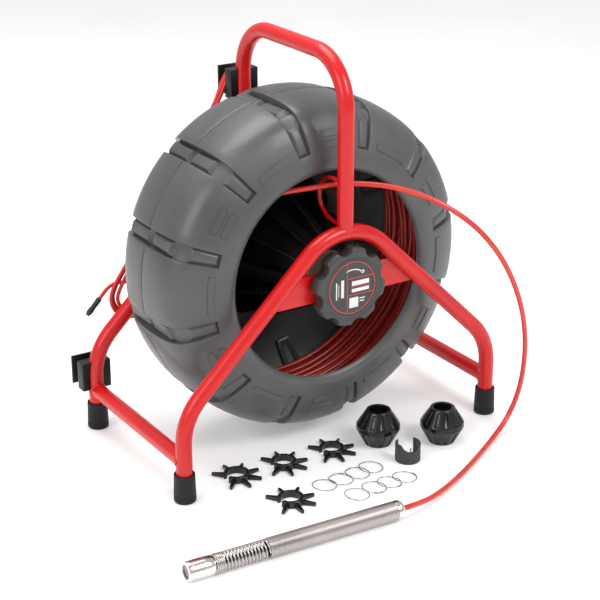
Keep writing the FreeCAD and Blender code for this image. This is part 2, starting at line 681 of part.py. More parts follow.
LEAD_ROUTE = [(-58, GLAND_Y, axle_z), (-79, 129, 293), (-101, 130, 286), (-121, 136, 272),
              (-134, 148, 257), (-143, 164, 246), (-150, 176, 232)]
keep(cord("system_cable", LEAD_ROUTE, value_of(dim("lead_dia"))))
TAIL_ROUTE = [(-228, 176, 233), (-236, 179, 232), (-246, 181, 227), (-254, 181, 219), (-260, 181, 212)]
keep(cord("system_cable_tail", TAIL_ROUTE, value_of(dim("lead_dia"))))
plug_start, plug_end = Vector(*TAIL_ROUTE[-1]), Vector(-284, 181, 187)
plug_axis = plug_end - plug_start
plug_shape = turned("system_cable_plug", [(0, 0), (4.4, 0), (4.9, 3), (4.9, 29), (3.4, 33), (0, 34.6)])
plug_shape.Placement = Placement(plug_start, Rotation(Vector(0, 1, 0), plug_axis))
keep(plug_shape)

# ---------------------------------------------------------------- loose centring parts

STAR_PLACES = [(-186, -131, 1.6), (-102, -135, -11.5), (-13, -138, -4.9), (-156, -242, -4.4)]
STAR_PITCH, STAR_GAP = 45, 180


def star_guide(label, x, y, turn):
    """An open ring with seven spokes that clips over the camera head."""
    band = [cylinder(f"{label}_rim", 20.5, 11, (0, 0, 0))]
    for i in range(360 // STAR_PITCH):
        if i * STAR_PITCH == STAR_GAP:
            continue
        spoke = block(f"{label}_spoke_{i}", (24, 5, 7), (28.5, 0, 0))
        spoke_turn = Rotation(Vector(0, 0, 1), i * STAR_PITCH)
        spoke.Placement = Placement(Vector(), spoke_turn) * spoke.Placement
        band.append(spoke)
    solid = fused(f"{label}_solid", band)
    bore = cylinder(f"{label}_bore", dim("star_bore"), 13, (0, 0, -1))
    gap = block(f"{label}_gap", (24, 14, 13), (18, 0, -1))
    gap.Placement = Placement(Vector(), Rotation(Vector(0, 0, 1), STAR_GAP)) * gap.Placement
    open_ring = cut(label, solid, grouped(f"{label}_tools", [bore, gap]))
    place(open_ring, (x, y, 0), Rotation(Vector(0, 0, 1), turn))
    return open_ring


for i, (x, y, turn) in enumerate(STAR_PLACES, 1):
    keep(star_guide(f"star_guide_{i}", x, y, turn))

BALL_PLACES = [(70, -149), (163, -197)]
for i, (x, y) in enumerate(BALL_PLACES, 1):
    ball = turned(f"ball_guide_{i}", [
        (dim("star_bore"), 0), (dim("star_bore"), dim("ball_tall")), (20, dim("ball_tall")),
        (dim("ball_rad"), 34), (dim("ball_rad"), 27), (22, 0), (19.5, 0), (dim("ball_rad") - 2.5, 27.5),
        (dim("ball_rad") - 2.5, 33), (18.6, dim("ball_tall") - 3), (17.5, dim("ball_tall") - 3),
        (17.5, 0)], "XZ_Plane")
    place(ball, (x, y, 0))
    keep(ball)

COLLAR_RAD, COLLAR_BORE, COLLAR_TALL, COLLAR_DIP = 20.5, 16.6, 31, 14
collar_tube = cylinder("collar_tube", COLLAR_RAD, COLLAR_TALL, (0, 0, 0))
collar_bore = cylinder("collar_bore", COLLAR_BORE, COLLAR_TALL + 2, (0, 0, -1))
collar_gap = block("collar_gap", (26, 28, COLLAR_TALL + 2), (0, 17, -1))
collar_dip = cylinder("collar_dip", COLLAR_DIP, 40, (0, 20, COLLAR_TALL + 4), Rotation(Vector(1, 0, 0), 90))
collar = cut("collar_clip", collar_tube, grouped("collar_tools", [collar_bore, collar_gap, collar_dip]))
place(collar, (76, -223, 0), Rotation(Vector(0, 0, 1), -20))
keep(collar)

RING_PLACES = [(-85, -227), (-53, -225), (-20, -222), (9, -217), (-59, -278), (-24, -274), (5, -273),
               (35, -272)]
RING_RAD, RING_WIRE, RING_LEAN = 19, 0.75, 3.0
ring_solids = []
for i, (x, y) in enumerate(RING_PLACES, 1):
    torus = doc.addObject("Part::Torus", f"wire_ring_{i}")
    torus.Radius1, torus.Radius2 = RING_RAD, RING_WIRE
    lift = RING_WIRE + RING_RAD * math.sin(math.radians(RING_LEAN))
    place(torus, (x, y, lift), Rotation(Vector(0, 1, 0), RING_LEAN))
    ring_solids.append(torus)
keep(grouped("wire_rings", ring_solids))

# ---------------------------------------------------------------- check and write

doc.recompute()
failed = [item.Label for item in doc.Objects if {"Invalid", "Error"} & set(item.State)]
if failed:
    raise RuntimeError(f"failed to compute: {failed}")
os.makedirs("parts", exist_ok=True)
for old in os.listdir("parts"):
    if old.endswith(".step"):
        os.remove(os.path.join("parts", old))
for part in parts:
    shape = part.Shape
    if shape.isNull() or not shape.isValid() or shape.Volume <= 0:
        raise RuntimeError(f"{part.Label} has no sound shape")
    shape.exportStep(os.path.join("parts", f"{part.Label}.step"))
    box = shape.optimalBoundingBox()
    print(f"{part.Label:22s} {len(shape.Solids):2d} solids {shape.Volume / 1000:9.1f} cm3"
          f"  x {box.XMin:7.1f} {box.XMax:7.1f}  y {box.YMin:7.1f} {box.YMax:7.1f}"
          f"  z {box.ZMin:6.1f} {box.ZMax:6.1f}")
print(len(parts), "sub-parts")
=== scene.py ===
# %% [markdown]
# # A drain inspection camera on its reel
# The CAD model already holds every size, joint and fit. This lesson gives it its looks: the cables at
# their real length, the soft-edged moulded drum, the spring of the camera head, the clip-on guides, and
# a finish for every surface. All numbers are metres, in the CAD model's own frame: +Z is up, the knob
# faces -Y, and the drum turns about a line along Y at the height of the axle.

# %% Load the frame
import json
import math
import random

import bmesh
import bpy
from mathutils import Matrix, Vector

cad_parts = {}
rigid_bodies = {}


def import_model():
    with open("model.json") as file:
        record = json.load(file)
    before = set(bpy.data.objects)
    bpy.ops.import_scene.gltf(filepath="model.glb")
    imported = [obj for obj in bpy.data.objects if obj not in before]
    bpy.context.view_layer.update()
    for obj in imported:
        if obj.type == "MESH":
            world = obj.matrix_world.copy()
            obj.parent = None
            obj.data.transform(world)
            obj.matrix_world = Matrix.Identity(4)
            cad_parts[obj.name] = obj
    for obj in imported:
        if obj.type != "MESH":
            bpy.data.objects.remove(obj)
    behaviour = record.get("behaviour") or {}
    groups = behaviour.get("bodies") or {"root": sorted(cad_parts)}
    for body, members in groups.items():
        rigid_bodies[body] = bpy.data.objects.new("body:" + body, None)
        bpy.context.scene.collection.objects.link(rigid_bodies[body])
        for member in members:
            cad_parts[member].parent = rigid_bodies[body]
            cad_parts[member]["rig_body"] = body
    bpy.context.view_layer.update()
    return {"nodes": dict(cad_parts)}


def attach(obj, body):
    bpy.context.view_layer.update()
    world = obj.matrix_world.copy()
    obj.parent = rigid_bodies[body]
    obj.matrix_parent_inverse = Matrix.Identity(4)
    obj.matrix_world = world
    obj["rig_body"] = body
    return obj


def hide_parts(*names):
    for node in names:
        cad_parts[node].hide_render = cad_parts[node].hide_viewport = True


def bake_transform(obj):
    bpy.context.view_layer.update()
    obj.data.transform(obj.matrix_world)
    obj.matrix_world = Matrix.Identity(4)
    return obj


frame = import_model()
nodes = frame["nodes"]

# %% [markdown]
# ## The camera
# The view decides how much detail each part needs, so the camera comes first. A long lens from about
# two and a half metres keeps the drum from bulging, and it looks down at about 22 degrees.

# %% Camera
VIEW_TURN, VIEW_DOWN = math.radians(32.4), math.radians(22.14)
bpy.ops.object.camera_add(location=(-1.318, -2.099, 1.223),
                          rotation=(math.pi / 2 - VIEW_DOWN, 0, -VIEW_TURN))
camera = bpy.context.object
camera.name = "view_camera"
camera.data.lens, camera.data.sensor_width = 98.4, 36
bpy.context.scene.camera = camera
print("camera at", tuple(round(c, 3) for c in camera.location))

# %% [markdown]
# ## Small helpers
# Blender's operators act on whatever is selected, so each piece starts by deselecting everything.
# Edges and faces are then picked by where they are or which way they face, as a hand would pick them.

# %% Helpers for selecting and shaping
AXLE_Z = 0.294
AXLE = Vector((0, 0, AXLE_Z))


def deselect():
    if bpy.context.object and bpy.context.object.mode == "EDIT":
        bpy.ops.object.mode_set(mode="OBJECT")
    bpy.ops.object.select_all(action="DESELECT")


def grab(piece):
    """Make one piece the only selected one."""
    deselect()
    piece.select_set(True)
    bpy.context.view_layer.objects.active = piece
    return piece


def named(name):
    """Name the piece that an operator has just added, and its mesh or curve."""
    piece = bpy.context.object
    piece.name = piece.data.name = name
    return piece


def edit(piece, kind="FACE"):
    grab(piece)
    bpy.ops.object.mode_set(mode="EDIT")
    bpy.ops.mesh.select_mode(type=kind)
    bpy.ops.mesh.select_all(action="DESELECT")


def done():
    bpy.ops.object.mode_set(mode="OBJECT")


def pick(piece, wanted):
    """In edit mode, select the faces for which wanted(middle, normal) is true."""
    mesh = bmesh.from_edit_mesh(piece.data)
    for part in (mesh.verts, mesh.edges, mesh.faces):
        for item in part:
            item.select = False
    count = 0
    for face in mesh.faces:
        if wanted(face.calc_center_median(), face.normal):
            face.select_set(True)
            count += 1
    bmesh.update_edit_mesh(piece.data)
    return count


def pick_edges(piece, wanted):
    """In edit mode, select the edges for which wanted(one end, other end) is true."""
    mesh = bmesh.from_edit_mesh(piece.data)
    for part in (mesh.verts, mesh.edges, mesh.faces):
        for item in part:
            item.select = False
    found = [edge for edge in mesh.edges if wanted(edge.verts[0].co, edge.verts[1].co)]
    for edge in found:
        edge.select_set(True)
    bmesh.update_edit_mesh(piece.data)
    return len(found)


def modify(piece, kind, **settings):
    """Add a modifier with these settings and apply it."""
    grab(piece)
    modifier = piece.modifiers.new(kind.lower(), kind)
    for name, value in settings.items():
        setattr(modifier, name, value)
    bpy.ops.object.modifier_apply(modifier=modifier.name)
    return piece


def soften(piece, width, segments=2, angle=35):
    """Round every edge sharper than the angle, then shade the piece smooth."""
    modify(piece, "BEVEL", width=width, segments=segments, limit_method="ANGLE",
           angle_limit=math.radians(angle), use_clamp_overlap=True)
    bpy.ops.object.shade_smooth_by_angle(angle=math.radians(angle))
    return piece


def settle(piece):
    """Put the piece's place, turn and scale into its mesh."""
    piece.data.transform(piece.matrix_basis)
    piece.matrix_basis = Matrix.Identity(4)
    return piece


def copy_of(piece, name, move):
    """A copy with its own mesh, moved by a matrix."""
    twin = piece.copy()
    twin.data = piece.data.copy()
    twin.name = twin.data.name = name
    bpy.context.collection.objects.link(twin)
    twin.data.transform(move)
    return twin


def joined(name, pieces):
    grab(pieces[0])
    for piece in pieces:
        piece.select_set(True)
    if len(pieces) > 1:
        bpy.ops.object.join()
    return named(name)


def tidy(piece, gap=1e-5):
    """Merge doubled points and turn every face outwards."""
    edit(piece, "VERT")
    bpy.ops.mesh.select_all(action="SELECT")
    bpy.ops.mesh.remove_doubles(threshold=gap)
    bpy.ops.mesh.normals_make_consistent(inside=False)
    done()
    return piece


def outline(name, points):
    """One chain of edges through the points: a vertex, extruded from point to point."""
    deselect()
    bpy.ops.mesh.primitive_plane_add(size=0.01)
    chain = named(name)
    edit(chain, "VERT")
    bpy.ops.mesh.select_all(action="SELECT")
    bpy.ops.mesh.merge(type="CENTER")
    bpy.ops.transform.translate(value=points[0])
    for start, end in zip(points, points[1:]):
        step = Vector(end) - Vector(start)
        bpy.ops.mesh.extrude_vertices_move(TRANSFORM_OT_translate={"value": step})
    done()
    return chain


def turned(name, points, steps, axis=(0, 1, 0), angle=math.tau, closed=True):
    """Spin an outline of (radius, along) about Y, or about Z when axis says so."""
    flat = [(r, u, 0) if axis[1] else (r, 0, u) for r, u in points]
    piece = outline(name, flat)
    edit(piece, "VERT")
    bpy.ops.mesh.select_all(action="SELECT")
    bpy.ops.mesh.spin(steps=steps, angle=angle, center=(0, 0, 0), axis=axis)
    done()
    return tidy(piece) if closed else piece


def about_axle(turn):
    """The matrix that turns a shape about the drum's axle, from +X towards +Z, and lifts it there."""
    return Matrix.Translation(AXLE) @ Matrix.Rotation(-math.radians(turn), 4, "Y")


def wear(piece, material, body, instead_of=()):
    """Give the piece its material and body, and hide the CAD nodes it stands for."""
    piece.data.materials.clear()
    for one in (material if isinstance(material, (list, tuple)) else [material]):
        piece.data.materials.append(one)
    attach(piece, body)
    if instead_of:
        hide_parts(*instead_of)
    return piece


print("helpers ready")

# %% [markdown]
# ## The push cable
# The push cable is a stiff glass-fibre rod in a smooth jacket. It leaves the winding inside the drum,
# runs over the pad at the front post, arches out to the right and comes down to the floor, where it
# ends in the camera head. One smooth spline through given points is the simplest true model:
# order 3 keeps every bend round, and the bevel gives it its thickness.

# %% Push cable
CABLE_DIA = 0.0084
PUSH_CABLE_ROUTE = [
    (-0.213, -0.010, 0.331), (-0.193, -0.022, 0.372), (-0.160, -0.038, 0.402), (-0.121, -0.058, 0.422),
    (-0.082, -0.080, 0.434), (-0.042, -0.099, 0.440), (0.000, -0.113, 0.443), (0.043, -0.134, 0.444),
    (0.088, -0.168, 0.438), (0.136, -0.204, 0.418), (0.182, -0.232, 0.382), (0.222, -0.247, 0.333),
    (0.254, -0.251, 0.277), (0.280, -0.246, 0.218), (0.298, -0.236, 0.158), (0.305, -0.226, 0.098),
    (0.299, -0.220, 0.050), (0.272, -0.226, 0.016), (0.226, -0.249, 0.005), (0.171, -0.283, 0.005),
    (0.112, -0.317, 0.005), (0.056, -0.344, 0.006), (0.006, -0.364, 0.010), (-0.040, -0.370, 0.015)]


def cable(name, route, diameter, round_steps=6):
    """A cable along a smooth spline whose control points are the route."""
    curve = bpy.data.curves.new(name, "CURVE")
    curve.dimensions = "3D"
    curve.bevel_depth = diameter / 2
    curve.bevel_resolution = round_steps
    curve.use_fill_caps = True
    spline = curve.splines.new("NURBS")
    spline.points.add(len(route) - 1)
    for point, place in zip(spline.points, route):
        point.co = (*place, 1)
    spline.order_u = 3
    spline.use_endpoint_u = True
    spline.resolution_u = 10
    piece = bpy.data.objects.new(name, curve)
    bpy.context.collection.objects.link(piece)
    return piece


def line_length(points):
    return sum((Vector(b) - Vector(a)).length for a, b in zip(points, points[1:]))


push_cable = cable("push_cable_run", PUSH_CABLE_ROUTE, CABLE_DIA)
print("push cable control line", round(line_length(PUSH_CABLE_ROUTE), 3), "m")

# %% [markdown]
# ## The system cable
# The thinner red cable joins the reel to its monitor. It leaves a gland at the back, hangs in three
# long turns from the upper wrap behind the drum, crosses its own turns and ends in a plug. The turns
# are worked out in a loop, since they only differ a little in size and depth.

# %% System cable
LEAD_DIA = 0.0063
LEAD_ROUTE = [(-0.058, 0.129, 0.294), (-0.079, 0.129, 0.293), (-0.101, 0.130, 0.286),
              (-0.121, 0.136, 0.272), (-0.134, 0.148, 0.257), (-0.143, 0.164, 0.246)]
TAIL_ROUTE = [(-0.130, 0.182, 0.264), (-0.146, 0.185, 0.243), (-0.164, 0.186, 0.231),
              (-0.188, 0.186, 0.227), (-0.210, 0.186, 0.229), (-0.228, 0.1855, 0.231),
              (-0.240, 0.183, 0.229), (-0.250, 0.181, 0.223), (-0.260, 0.181, 0.212)]
HANK_TOP, HANK_LOW = Vector((0, 0, 0.542)), Vector((-0.206, 0, 0.207))
HANK_TURNS = 3
hank_down = (HANK_LOW - HANK_TOP).normalized()
hank_side = Vector((-hank_down.z, 0, hank_down.x))
hank_side = -hank_side if hank_side.x < 0 else hank_side


def hank_turn(turn):
    """One turn: down the right side, round the low end, up the left side and over the wrap."""
    low_size, low_depth = (0.0385, 0.0320, 0.0262)[turn], (0.1730, 0.1786, 0.1728)[turn]
    top_size, top_depth = (0.0205, 0.0212, 0.0207)[turn], (0.1699, 0.1763, 0.1826)[turn]
    sway = (0.0, 0.003, -0.002)[turn]
    reach = (HANK_LOW - HANK_TOP).length
    points = []

    def strand(share, side):
        size = top_size + (low_size - top_size) * share + sway * math.sin(5 * share) * (1 - share)
        depth = top_depth + (low_depth - top_depth) * share
        inwards = 0.010 * math.sin(math.pi * min(1, share / 0.45))
        spot = HANK_TOP + hank_down * reach * share + hank_side * (size * side + inwards)
        points.append((spot.x, depth, spot.z))

    def bend(middle, size, depth, angles):
        for angle in angles:
            way = hank_side * math.cos(math.radians(angle)) + hank_down * math.sin(math.radians(angle))
            points.append(((middle + way * size).x, depth, (middle + way * size).z))

    for share in (0.10, 0.30, 0.50, 0.70, 0.88):
        strand(share, 1)
    bend(HANK_LOW, low_size * 1.04, low_depth, (0, 40, 90, 140, 180))
    for share in (0.88, 0.70, 0.50, 0.30, 0.12):
        strand(share, -1)
    bend(HANK_TOP, top_size, top_depth, (180, 225, 270, 315, 360))
    return points


turns = [point for turn in range(HANK_TURNS) for point in hank_turn(turn)]
first_low = next(i for i, point in enumerate(turns) if point[2] < 0.235)
last_pass = hank_turn(0)[:4]
SYSTEM_CABLE_ROUTE = LEAD_ROUTE + turns[first_low:] + last_pass + TAIL_ROUTE
system_cable = cable("system_cable_run", SYSTEM_CABLE_ROUTE, LEAD_DIA, 4)
print("system cable control line", round(line_length(SYSTEM_CABLE_ROUTE), 2), "m")

# %% [markdown]
# ## Finishes
# Every finish here is made the same way in the shader editor: object coordinates feed one broad noise
# that drifts the colour, one finer noise that varies the roughness, and a bump whose grain has the real
# size of the surface. Painted steel, moulded plastic and rubber then differ in their numbers only, so
# one function builds them. What is the same all over is set straight on the shader's sockets.

# %% A finish from noise
def finish(name, dark, light, patch=9, rough=(0.35, 0.5), grain=900, bump=0.1, depth=0.0002,
           metallic=0.0, coat=0.0, stretch=(1, 1, 1), speckle=0.0, shine=0.5):
    """A procedural finish. patch and grain are noise scales per metre, depth is the bump in metres."""
    material = bpy.data.materials.new(name)
    material.use_nodes = True
    tree = material.node_tree
    add, link = tree.nodes.new, tree.links.new
    shader = tree.nodes["Principled BSDF"]
    shader.inputs["Metallic"].default_value = metallic
    shader.inputs["Coat Weight"].default_value = coat
    shader.inputs["Specular IOR Level"].default_value = shine
    shader.inputs["Coat Roughness"].default_value = 0.08
    place = add("ShaderNodeTexCoord")
    mapping = add("ShaderNodeMapping")
    mapping.inputs["Scale"].default_value = stretch
    link(place.outputs["Object"], mapping.inputs["Vector"])
    broad, fine = add("ShaderNodeTexNoise"), add("ShaderNodeTexNoise")
    broad.inputs["Scale"].default_value, broad.inputs["Detail"].default_value = patch, 6
    fine.inputs["Scale"].default_value, fine.inputs["Detail"].default_value = grain, 3
    link(mapping.outputs["Vector"], broad.inputs["Vector"])
    link(mapping.outputs["Vector"], fine.inputs["Vector"])
    tint = add("ShaderNodeValToRGB")
    tint.color_ramp.elements[0].position, tint.color_ramp.elements[1].position = 0.32, 0.68
    tint.color_ramp.elements[0].color, tint.color_ramp.elements[1].color = (*dark, 1), (*light, 1)
    link(broad.outputs["Fac"], tint.inputs["Fac"])
    colour = tint.outputs["Color"]
    if speckle:
        flecks = add("ShaderNodeMix")
        flecks.data_type, flecks.blend_type = "RGBA", "OVERLAY"
        flecks.inputs["Factor"].default_value = speckle
        link(colour, flecks.inputs["A"])
        link(fine.outputs["Fac"], flecks.inputs["B"])
        colour = flecks.outputs["Result"]
    link(colour, shader.inputs["Base Color"])
    gloss = add("ShaderNodeMapRange")
    gloss.inputs["From Min"].default_value, gloss.inputs["From Max"].default_value = 0.3, 0.7
    gloss.inputs["To Min"].default_value, gloss.inputs["To Max"].default_value = rough
    link(broad.outputs["Fac"], gloss.inputs["Value"])
    link(gloss.outputs["Result"], shader.inputs["Roughness"])
    relief = add("ShaderNodeBump")
    relief.inputs["Strength"].default_value, relief.inputs["Distance"].default_value = bump, depth
    link(fine.outputs["Fac"], relief.inputs["Height"])
    link(relief.outputs["Normal"], shader.inputs["Normal"])
    return material


red_powder_coat = finish("red_powder_coat", (0.52, 0.004, 0.006), (0.59, 0.008, 0.009), 7, (0.26, 0.36),
                         520, 0.12, 0.0003, coat=0.12, shine=0.4)
moulded_grey = finish("moulded_grey", (0.058, 0.060, 0.061), (0.082, 0.084, 0.085), 11, (0.32, 0.46),
                      1500, 0.30, 0.0003, speckle=0.12, coat=0.1)
trimmed_edge = finish("trimmed_edge", (0.34, 0.33, 0.30), (0.46, 0.45, 0.41), 60, (0.5, 0.7), 1400, 0.3)
black_moulding = finish("black_moulding", (0.005, 0.005, 0.006), (0.011, 0.011, 0.012), 22, (0.38, 0.52),
                        1300, 0.22, speckle=0.1, shine=0.3)
foot_rubber = finish("foot_rubber", (0.007, 0.007, 0.007), (0.016, 0.015, 0.015), 40, (0.5, 0.68),
                     900, 0.35, 0.0004, speckle=0.2, shine=0.25)
gland_rubber = finish("gland_rubber", (0.012, 0.012, 0.012), (0.022, 0.022, 0.022), 60, (0.5, 0.65), 1000)
knob_grey = finish("knob_grey", (0.030, 0.031, 0.032), (0.046, 0.047, 0.048), 30, (0.38, 0.50),
                   1700, 0.28, speckle=0.1)
gloss_guide = finish("gloss_guide", (0.002, 0.002, 0.003), (0.006, 0.006, 0.006), 45, (0.16, 0.30),
                     700, 0.06, 0.0002)
collar_grey = finish("collar_grey", (0.024, 0.024, 0.026), (0.042, 0.041, 0.043), 60, (0.34, 0.5), 1500)
push_jacket = finish("push_jacket", (0.54, 0.022, 0.014), (0.63, 0.036, 0.022), 30, (0.24, 0.36),
                     800, 0.05, coat=0.25)
stored_jacket = finish("stored_jacket", (0.42, 0.020, 0.016), (0.60, 0.040, 0.028), 18, (0.28, 0.42),
                       800, 0.06, coat=0.2)
lead_jacket = finish("lead_jacket", (0.52, 0.014, 0.016), (0.64, 0.026, 0.026), 24, (0.28, 0.42), 800, 0.06)
zinc_plate = finish("zinc_plate", (0.50, 0.50, 0.49), (0.66, 0.66, 0.65), 90, (0.22, 0.42),
                    1800, 0.1, 0.0001, metallic=1.0)
brake_lining = finish("brake_lining", (0.10, 0.075, 0.055), (0.17, 0.135, 0.10), 300, (0.6, 0.85),
                      1600, 0.5, speckle=0.4)
bright_steel = finish("bright_steel", (0.66, 0.64, 0.62), (0.78, 0.76, 0.74), 30, (0.10, 0.22),
                      1500, 0.05, 0.0001, metallic=1.0, stretch=(1, 8, 8))
spring_steel = finish("spring_steel", (0.46, 0.43, 0.42), (0.54, 0.50, 0.49), 12, (0.26, 0.33),
                      1400, 0.03, 0.00005, metallic=1.0)
ring_wire = finish("ring_wire", (0.26, 0.26, 0.26), (0.44, 0.44, 0.44), 80, (0.12, 0.24),
                   1200, 0.05, 0.0001, metallic=1.0)
dark_core = finish("dark_core", (0.012, 0.012, 0.014), (0.026, 0.026, 0.028), 70, (0.3, 0.5), 1200)
print(len(bpy.data.materials), "materials after the plain finishes")

# %% [markdown]
# ## The studio
# A pale floor and wide soft lights give the even, shadow-poor light of a catalogue page. Wide lights
# also draw the long soft highlights along the tubes.

# %% Floor and lights
deselect()
bpy.ops.mesh.primitive_plane_add(size=9, location=(0, 1.2, -0.0005))
floor = named("floor")
pale_floor = finish("pale_floor", (0.86, 0.86, 0.86), (0.90, 0.90, 0.90), 2, (0.6, 0.7), 300, 0.02, shine=0.2)
pale_floor.node_tree.nodes["Principled BSDF"].inputs["Emission Color"].default_value = (1, 1, 1, 1)
pale_floor.node_tree.nodes["Principled BSDF"].inputs["Emission Strength"].default_value = 0.22
floor.data.materials.append(pale_floor)
world = bpy.data.worlds.new("studio")
world.use_nodes = True
world.node_tree.nodes["Background"].inputs["Color"].default_value = (1.0, 1.0, 1.0, 1)
world.node_tree.nodes["Background"].inputs["Strength"].default_value = 0.62
bpy.context.scene.world = world
bpy.context.scene.view_settings.view_transform = "Standard"


def soft_light(name, place, aim, size, watts):
    way = Vector(aim) - Vector(place)
    bpy.ops.object.light_add(type="AREA", location=place, rotation=way.to_track_quat("-Z", "Y").to_euler())
    light = bpy.context.object
    light.name, light.data.size, light.data.energy = name, size, watts


soft_light("key", (0.9, -2.3, 2.3), (0, 0, 0.25), 1.2, 44)
soft_light("left_fill", (-2.4, -0.8, 1.6), (0, 0, 0.3), 1.4, 24)
soft_light("top", (-0.2, 0.6, 2.6), (0, 0, 0.2), 1.6, 50)

# %% [markdown]
# ## The moulded drum
# The drum is two rotationally moulded shells that meet at a fine seam. Round it run twelve lobes with a
# channel between each two, and in every channel lie two low ribs. All of that repeats, so one twelfth is
# modelled: a profile is spun through 30 degrees, the channel is extruded inwards, and the ribs are inset
# and raised from its floor. Twelve copies then make the shell, and Solidify gives it its wall.

# %% One twelfth of a shell
LOBES, LOBE_TURN, FIRST_NOTCH, COLUMNS = 12, 30.0, 12.6, 10
SHOULDER = [(0.2728, 0.0005), (0.2738, 0.0017), (0.2736, 0.020), (0.2722, 0.040), (0.2700, 0.055),
            (0.2668, 0.067), (0.2610, 0.079), (0.2510, 0.089), (0.2360, 0.0968), (0.2200, 0.1035),
            (0.2040, 0.1083), (0.1920, 0.1110), (0.1820, 0.1128)]
MOUTH = [(0.1760, 0.1120), (0.1712, 0.1094), (0.1690, 0.1062)]
BACK = [(0.1700, 0.1122), (0.1380, 0.1122), (0.1010, 0.1122)]
CHANNEL_DEEP, CHANNEL_END, CHANNEL_FLOOR = 0.007, 0.203, 0.259
CROWN_END = 0.0655
SEAM_EDGE, SEAM_ROUND, SEAM_REACH = 0.0005, 0.0017, 0.010


def turn_of(point):
    return math.degrees(math.atan2(point.z, point.x))


def radius_of(point):
    return math.hypot(point.x, point.z)


def point_outwards(shell, axle):
    """Flip the shell if its crown faces inwards."""
    crown = max(shell.data.polygons, key=lambda face: radius_of(face.center - axle))
    if crown.normal.dot(crown.center - axle) < 0:
        edit(shell)
        bpy.ops.mesh.select_all(action="SELECT")
        bpy.ops.mesh.flip_normals()
        done()


def sector(name, side, profile):
    """One twelfth of a shell, its channel in the middle and its face towards side."""
    piece = outline(name, [(r, side * y, 0) for r, y in profile])
    piece.data.transform(Matrix.Rotation(math.radians(-LOBE_TURN / 2), 4, "Y"))
    edit(piece, "VERT")
    bpy.ops.mesh.select_all(action="SELECT")
    bpy.ops.mesh.spin(steps=COLUMNS, angle=math.radians(LOBE_TURN), center=(0, 0, 0), axis=(0, 1, 0))
    done()
    if abs(sum(turn_of(v.co) for v in piece.data.vertices) / len(piece.data.vertices)) > 3:
        piece.data.transform(Matrix.Rotation(math.radians(LOBE_TURN), 4, "Y"))
    tidy(piece)
    point_outwards(piece, Vector())

    def in_channel(middle):
        return abs(turn_of(middle)) < 3.1 and radius_of(middle) > CHANNEL_END

    edit(piece)
    pick(piece, lambda middle, normal: in_channel(middle))
    bpy.ops.mesh.extrude_region_shrink_fatten(TRANSFORM_OT_shrink_fatten={"value": -CHANNEL_DEEP})
    seam_walls = pick(piece, lambda middle, normal: in_channel(middle) and abs(normal.y) > 0.7
                      and SEAM_ROUND < abs(middle.y) < 2 * SEAM_ROUND)
    print(name, "seam walls taken out:", seam_walls)
    bpy.ops.mesh.delete(type="FACE")

    def on_floor(middle, normal, low, high):
        across = abs(normal.z) < 0.25
        return across and abs(turn_of(middle)) < 3.1 and low < abs(middle.y) < high

    pick(piece, lambda middle, normal: on_floor(middle, normal, 0, CROWN_END))
    mesh = bmesh.from_edit_mesh(piece.data)
    for vert in mesh.verts:
        if vert.select:
            vert.co.x = math.sqrt(CHANNEL_FLOOR ** 2 - vert.co.z ** 2)
            if abs(vert.co.y) < SEAM_REACH:
                vert.co.y = side * (SEAM_EDGE if vert.is_boundary else SEAM_ROUND)
    bmesh.update_edit_mesh(piece.data)
    pick(piece, lambda middle, normal: on_floor(middle, normal, SEAM_REACH, CROWN_END))
    bpy.ops.mesh.inset(thickness=0.0062, depth=0.0075)
    pick(piece, lambda middle, normal: abs(turn_of(middle)) < 3.1 and 0.208 < radius_of(middle) < 0.249
         and abs(middle.y) > 0.080 and abs(normal.z) < 0.25)
    bpy.ops.mesh.inset(thickness=0.0062, depth=0.0048)
    done()
    return modify(piece, "BEVEL", width=0.0032, segments=3, limit_method="ANGLE",
                  angle_limit=math.radians(32), use_clamp_overlap=True)


front_sector = sector("front_sector", -1, SHOULDER + MOUTH)
rear_sector = sector("rear_sector", 1, SHOULDER + BACK)
print("one twelfth has", len(front_sector.data.polygons), "faces")

# %% [markdown]
# The lobes of the real drum carry raised lettering. Here plain raised bars stand in its place: two short
# lines on every other lobe, and one longer curved bar on the lobes between. They are inset from rows of
# faces that the spin has already laid out round the axle, so they follow its curve.

# %% Whole shells with raised bars


def lobe_turn(point):
    """How far the point is from the middle of its lobe, in degrees, and the number of that lobe."""
    turn = (math.degrees(math.atan2(point.z - AXLE_Z, point.x)) - FIRST_NOTCH - LOBE_TURN / 2) % 360
    lobe = round(turn / LOBE_TURN) % LOBES
    return (turn + LOBE_TURN / 2) % LOBE_TURN - LOBE_TURN / 2, lobe


def whole_shell(name, part, with_bars):
    shell = joined(name, [copy_of(part, f"{name}_{i}", about_axle(FIRST_NOTCH + LOBE_TURN * i))
                          for i in range(LOBES)])
    tidy(shell, 4e-5)
    point_outwards(shell, AXLE)
    if with_bars:
        edit(shell)
        for near, far, half, odd in ((0.2205, 0.2355, 6.2, 0), (0.2045, 0.2195, 6.2, 0),
                                     (0.2045, 0.2195, 7.6, 1)):
            def on_bar(middle, normal):
                turn, lobe = lobe_turn(middle)
                return near < radius_of(middle - AXLE) < far and abs(turn) < half and lobe % 2 == odd
            pick(shell, on_bar)
            bpy.ops.mesh.inset(thickness=0.0030, depth=0)
            bpy.ops.mesh.inset(thickness=0.0006, depth=0.0016)
        done()
    shell.data.materials.append(moulded_grey)
    shell.data.materials.append(trimmed_edge)
    modify(shell, "SOLIDIFY", thickness=0.0036, offset=-1, material_offset_rim=1)
    for face in shell.data.polygons:
        if abs(face.center.y) < 0.02 or radius_of(face.center - AXLE) < 0.12:
            face.material_index = 0
    grab(shell)
    bpy.ops.object.shade_smooth_by_angle(angle=math.radians(38))
    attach(shell, "drum")
    return shell


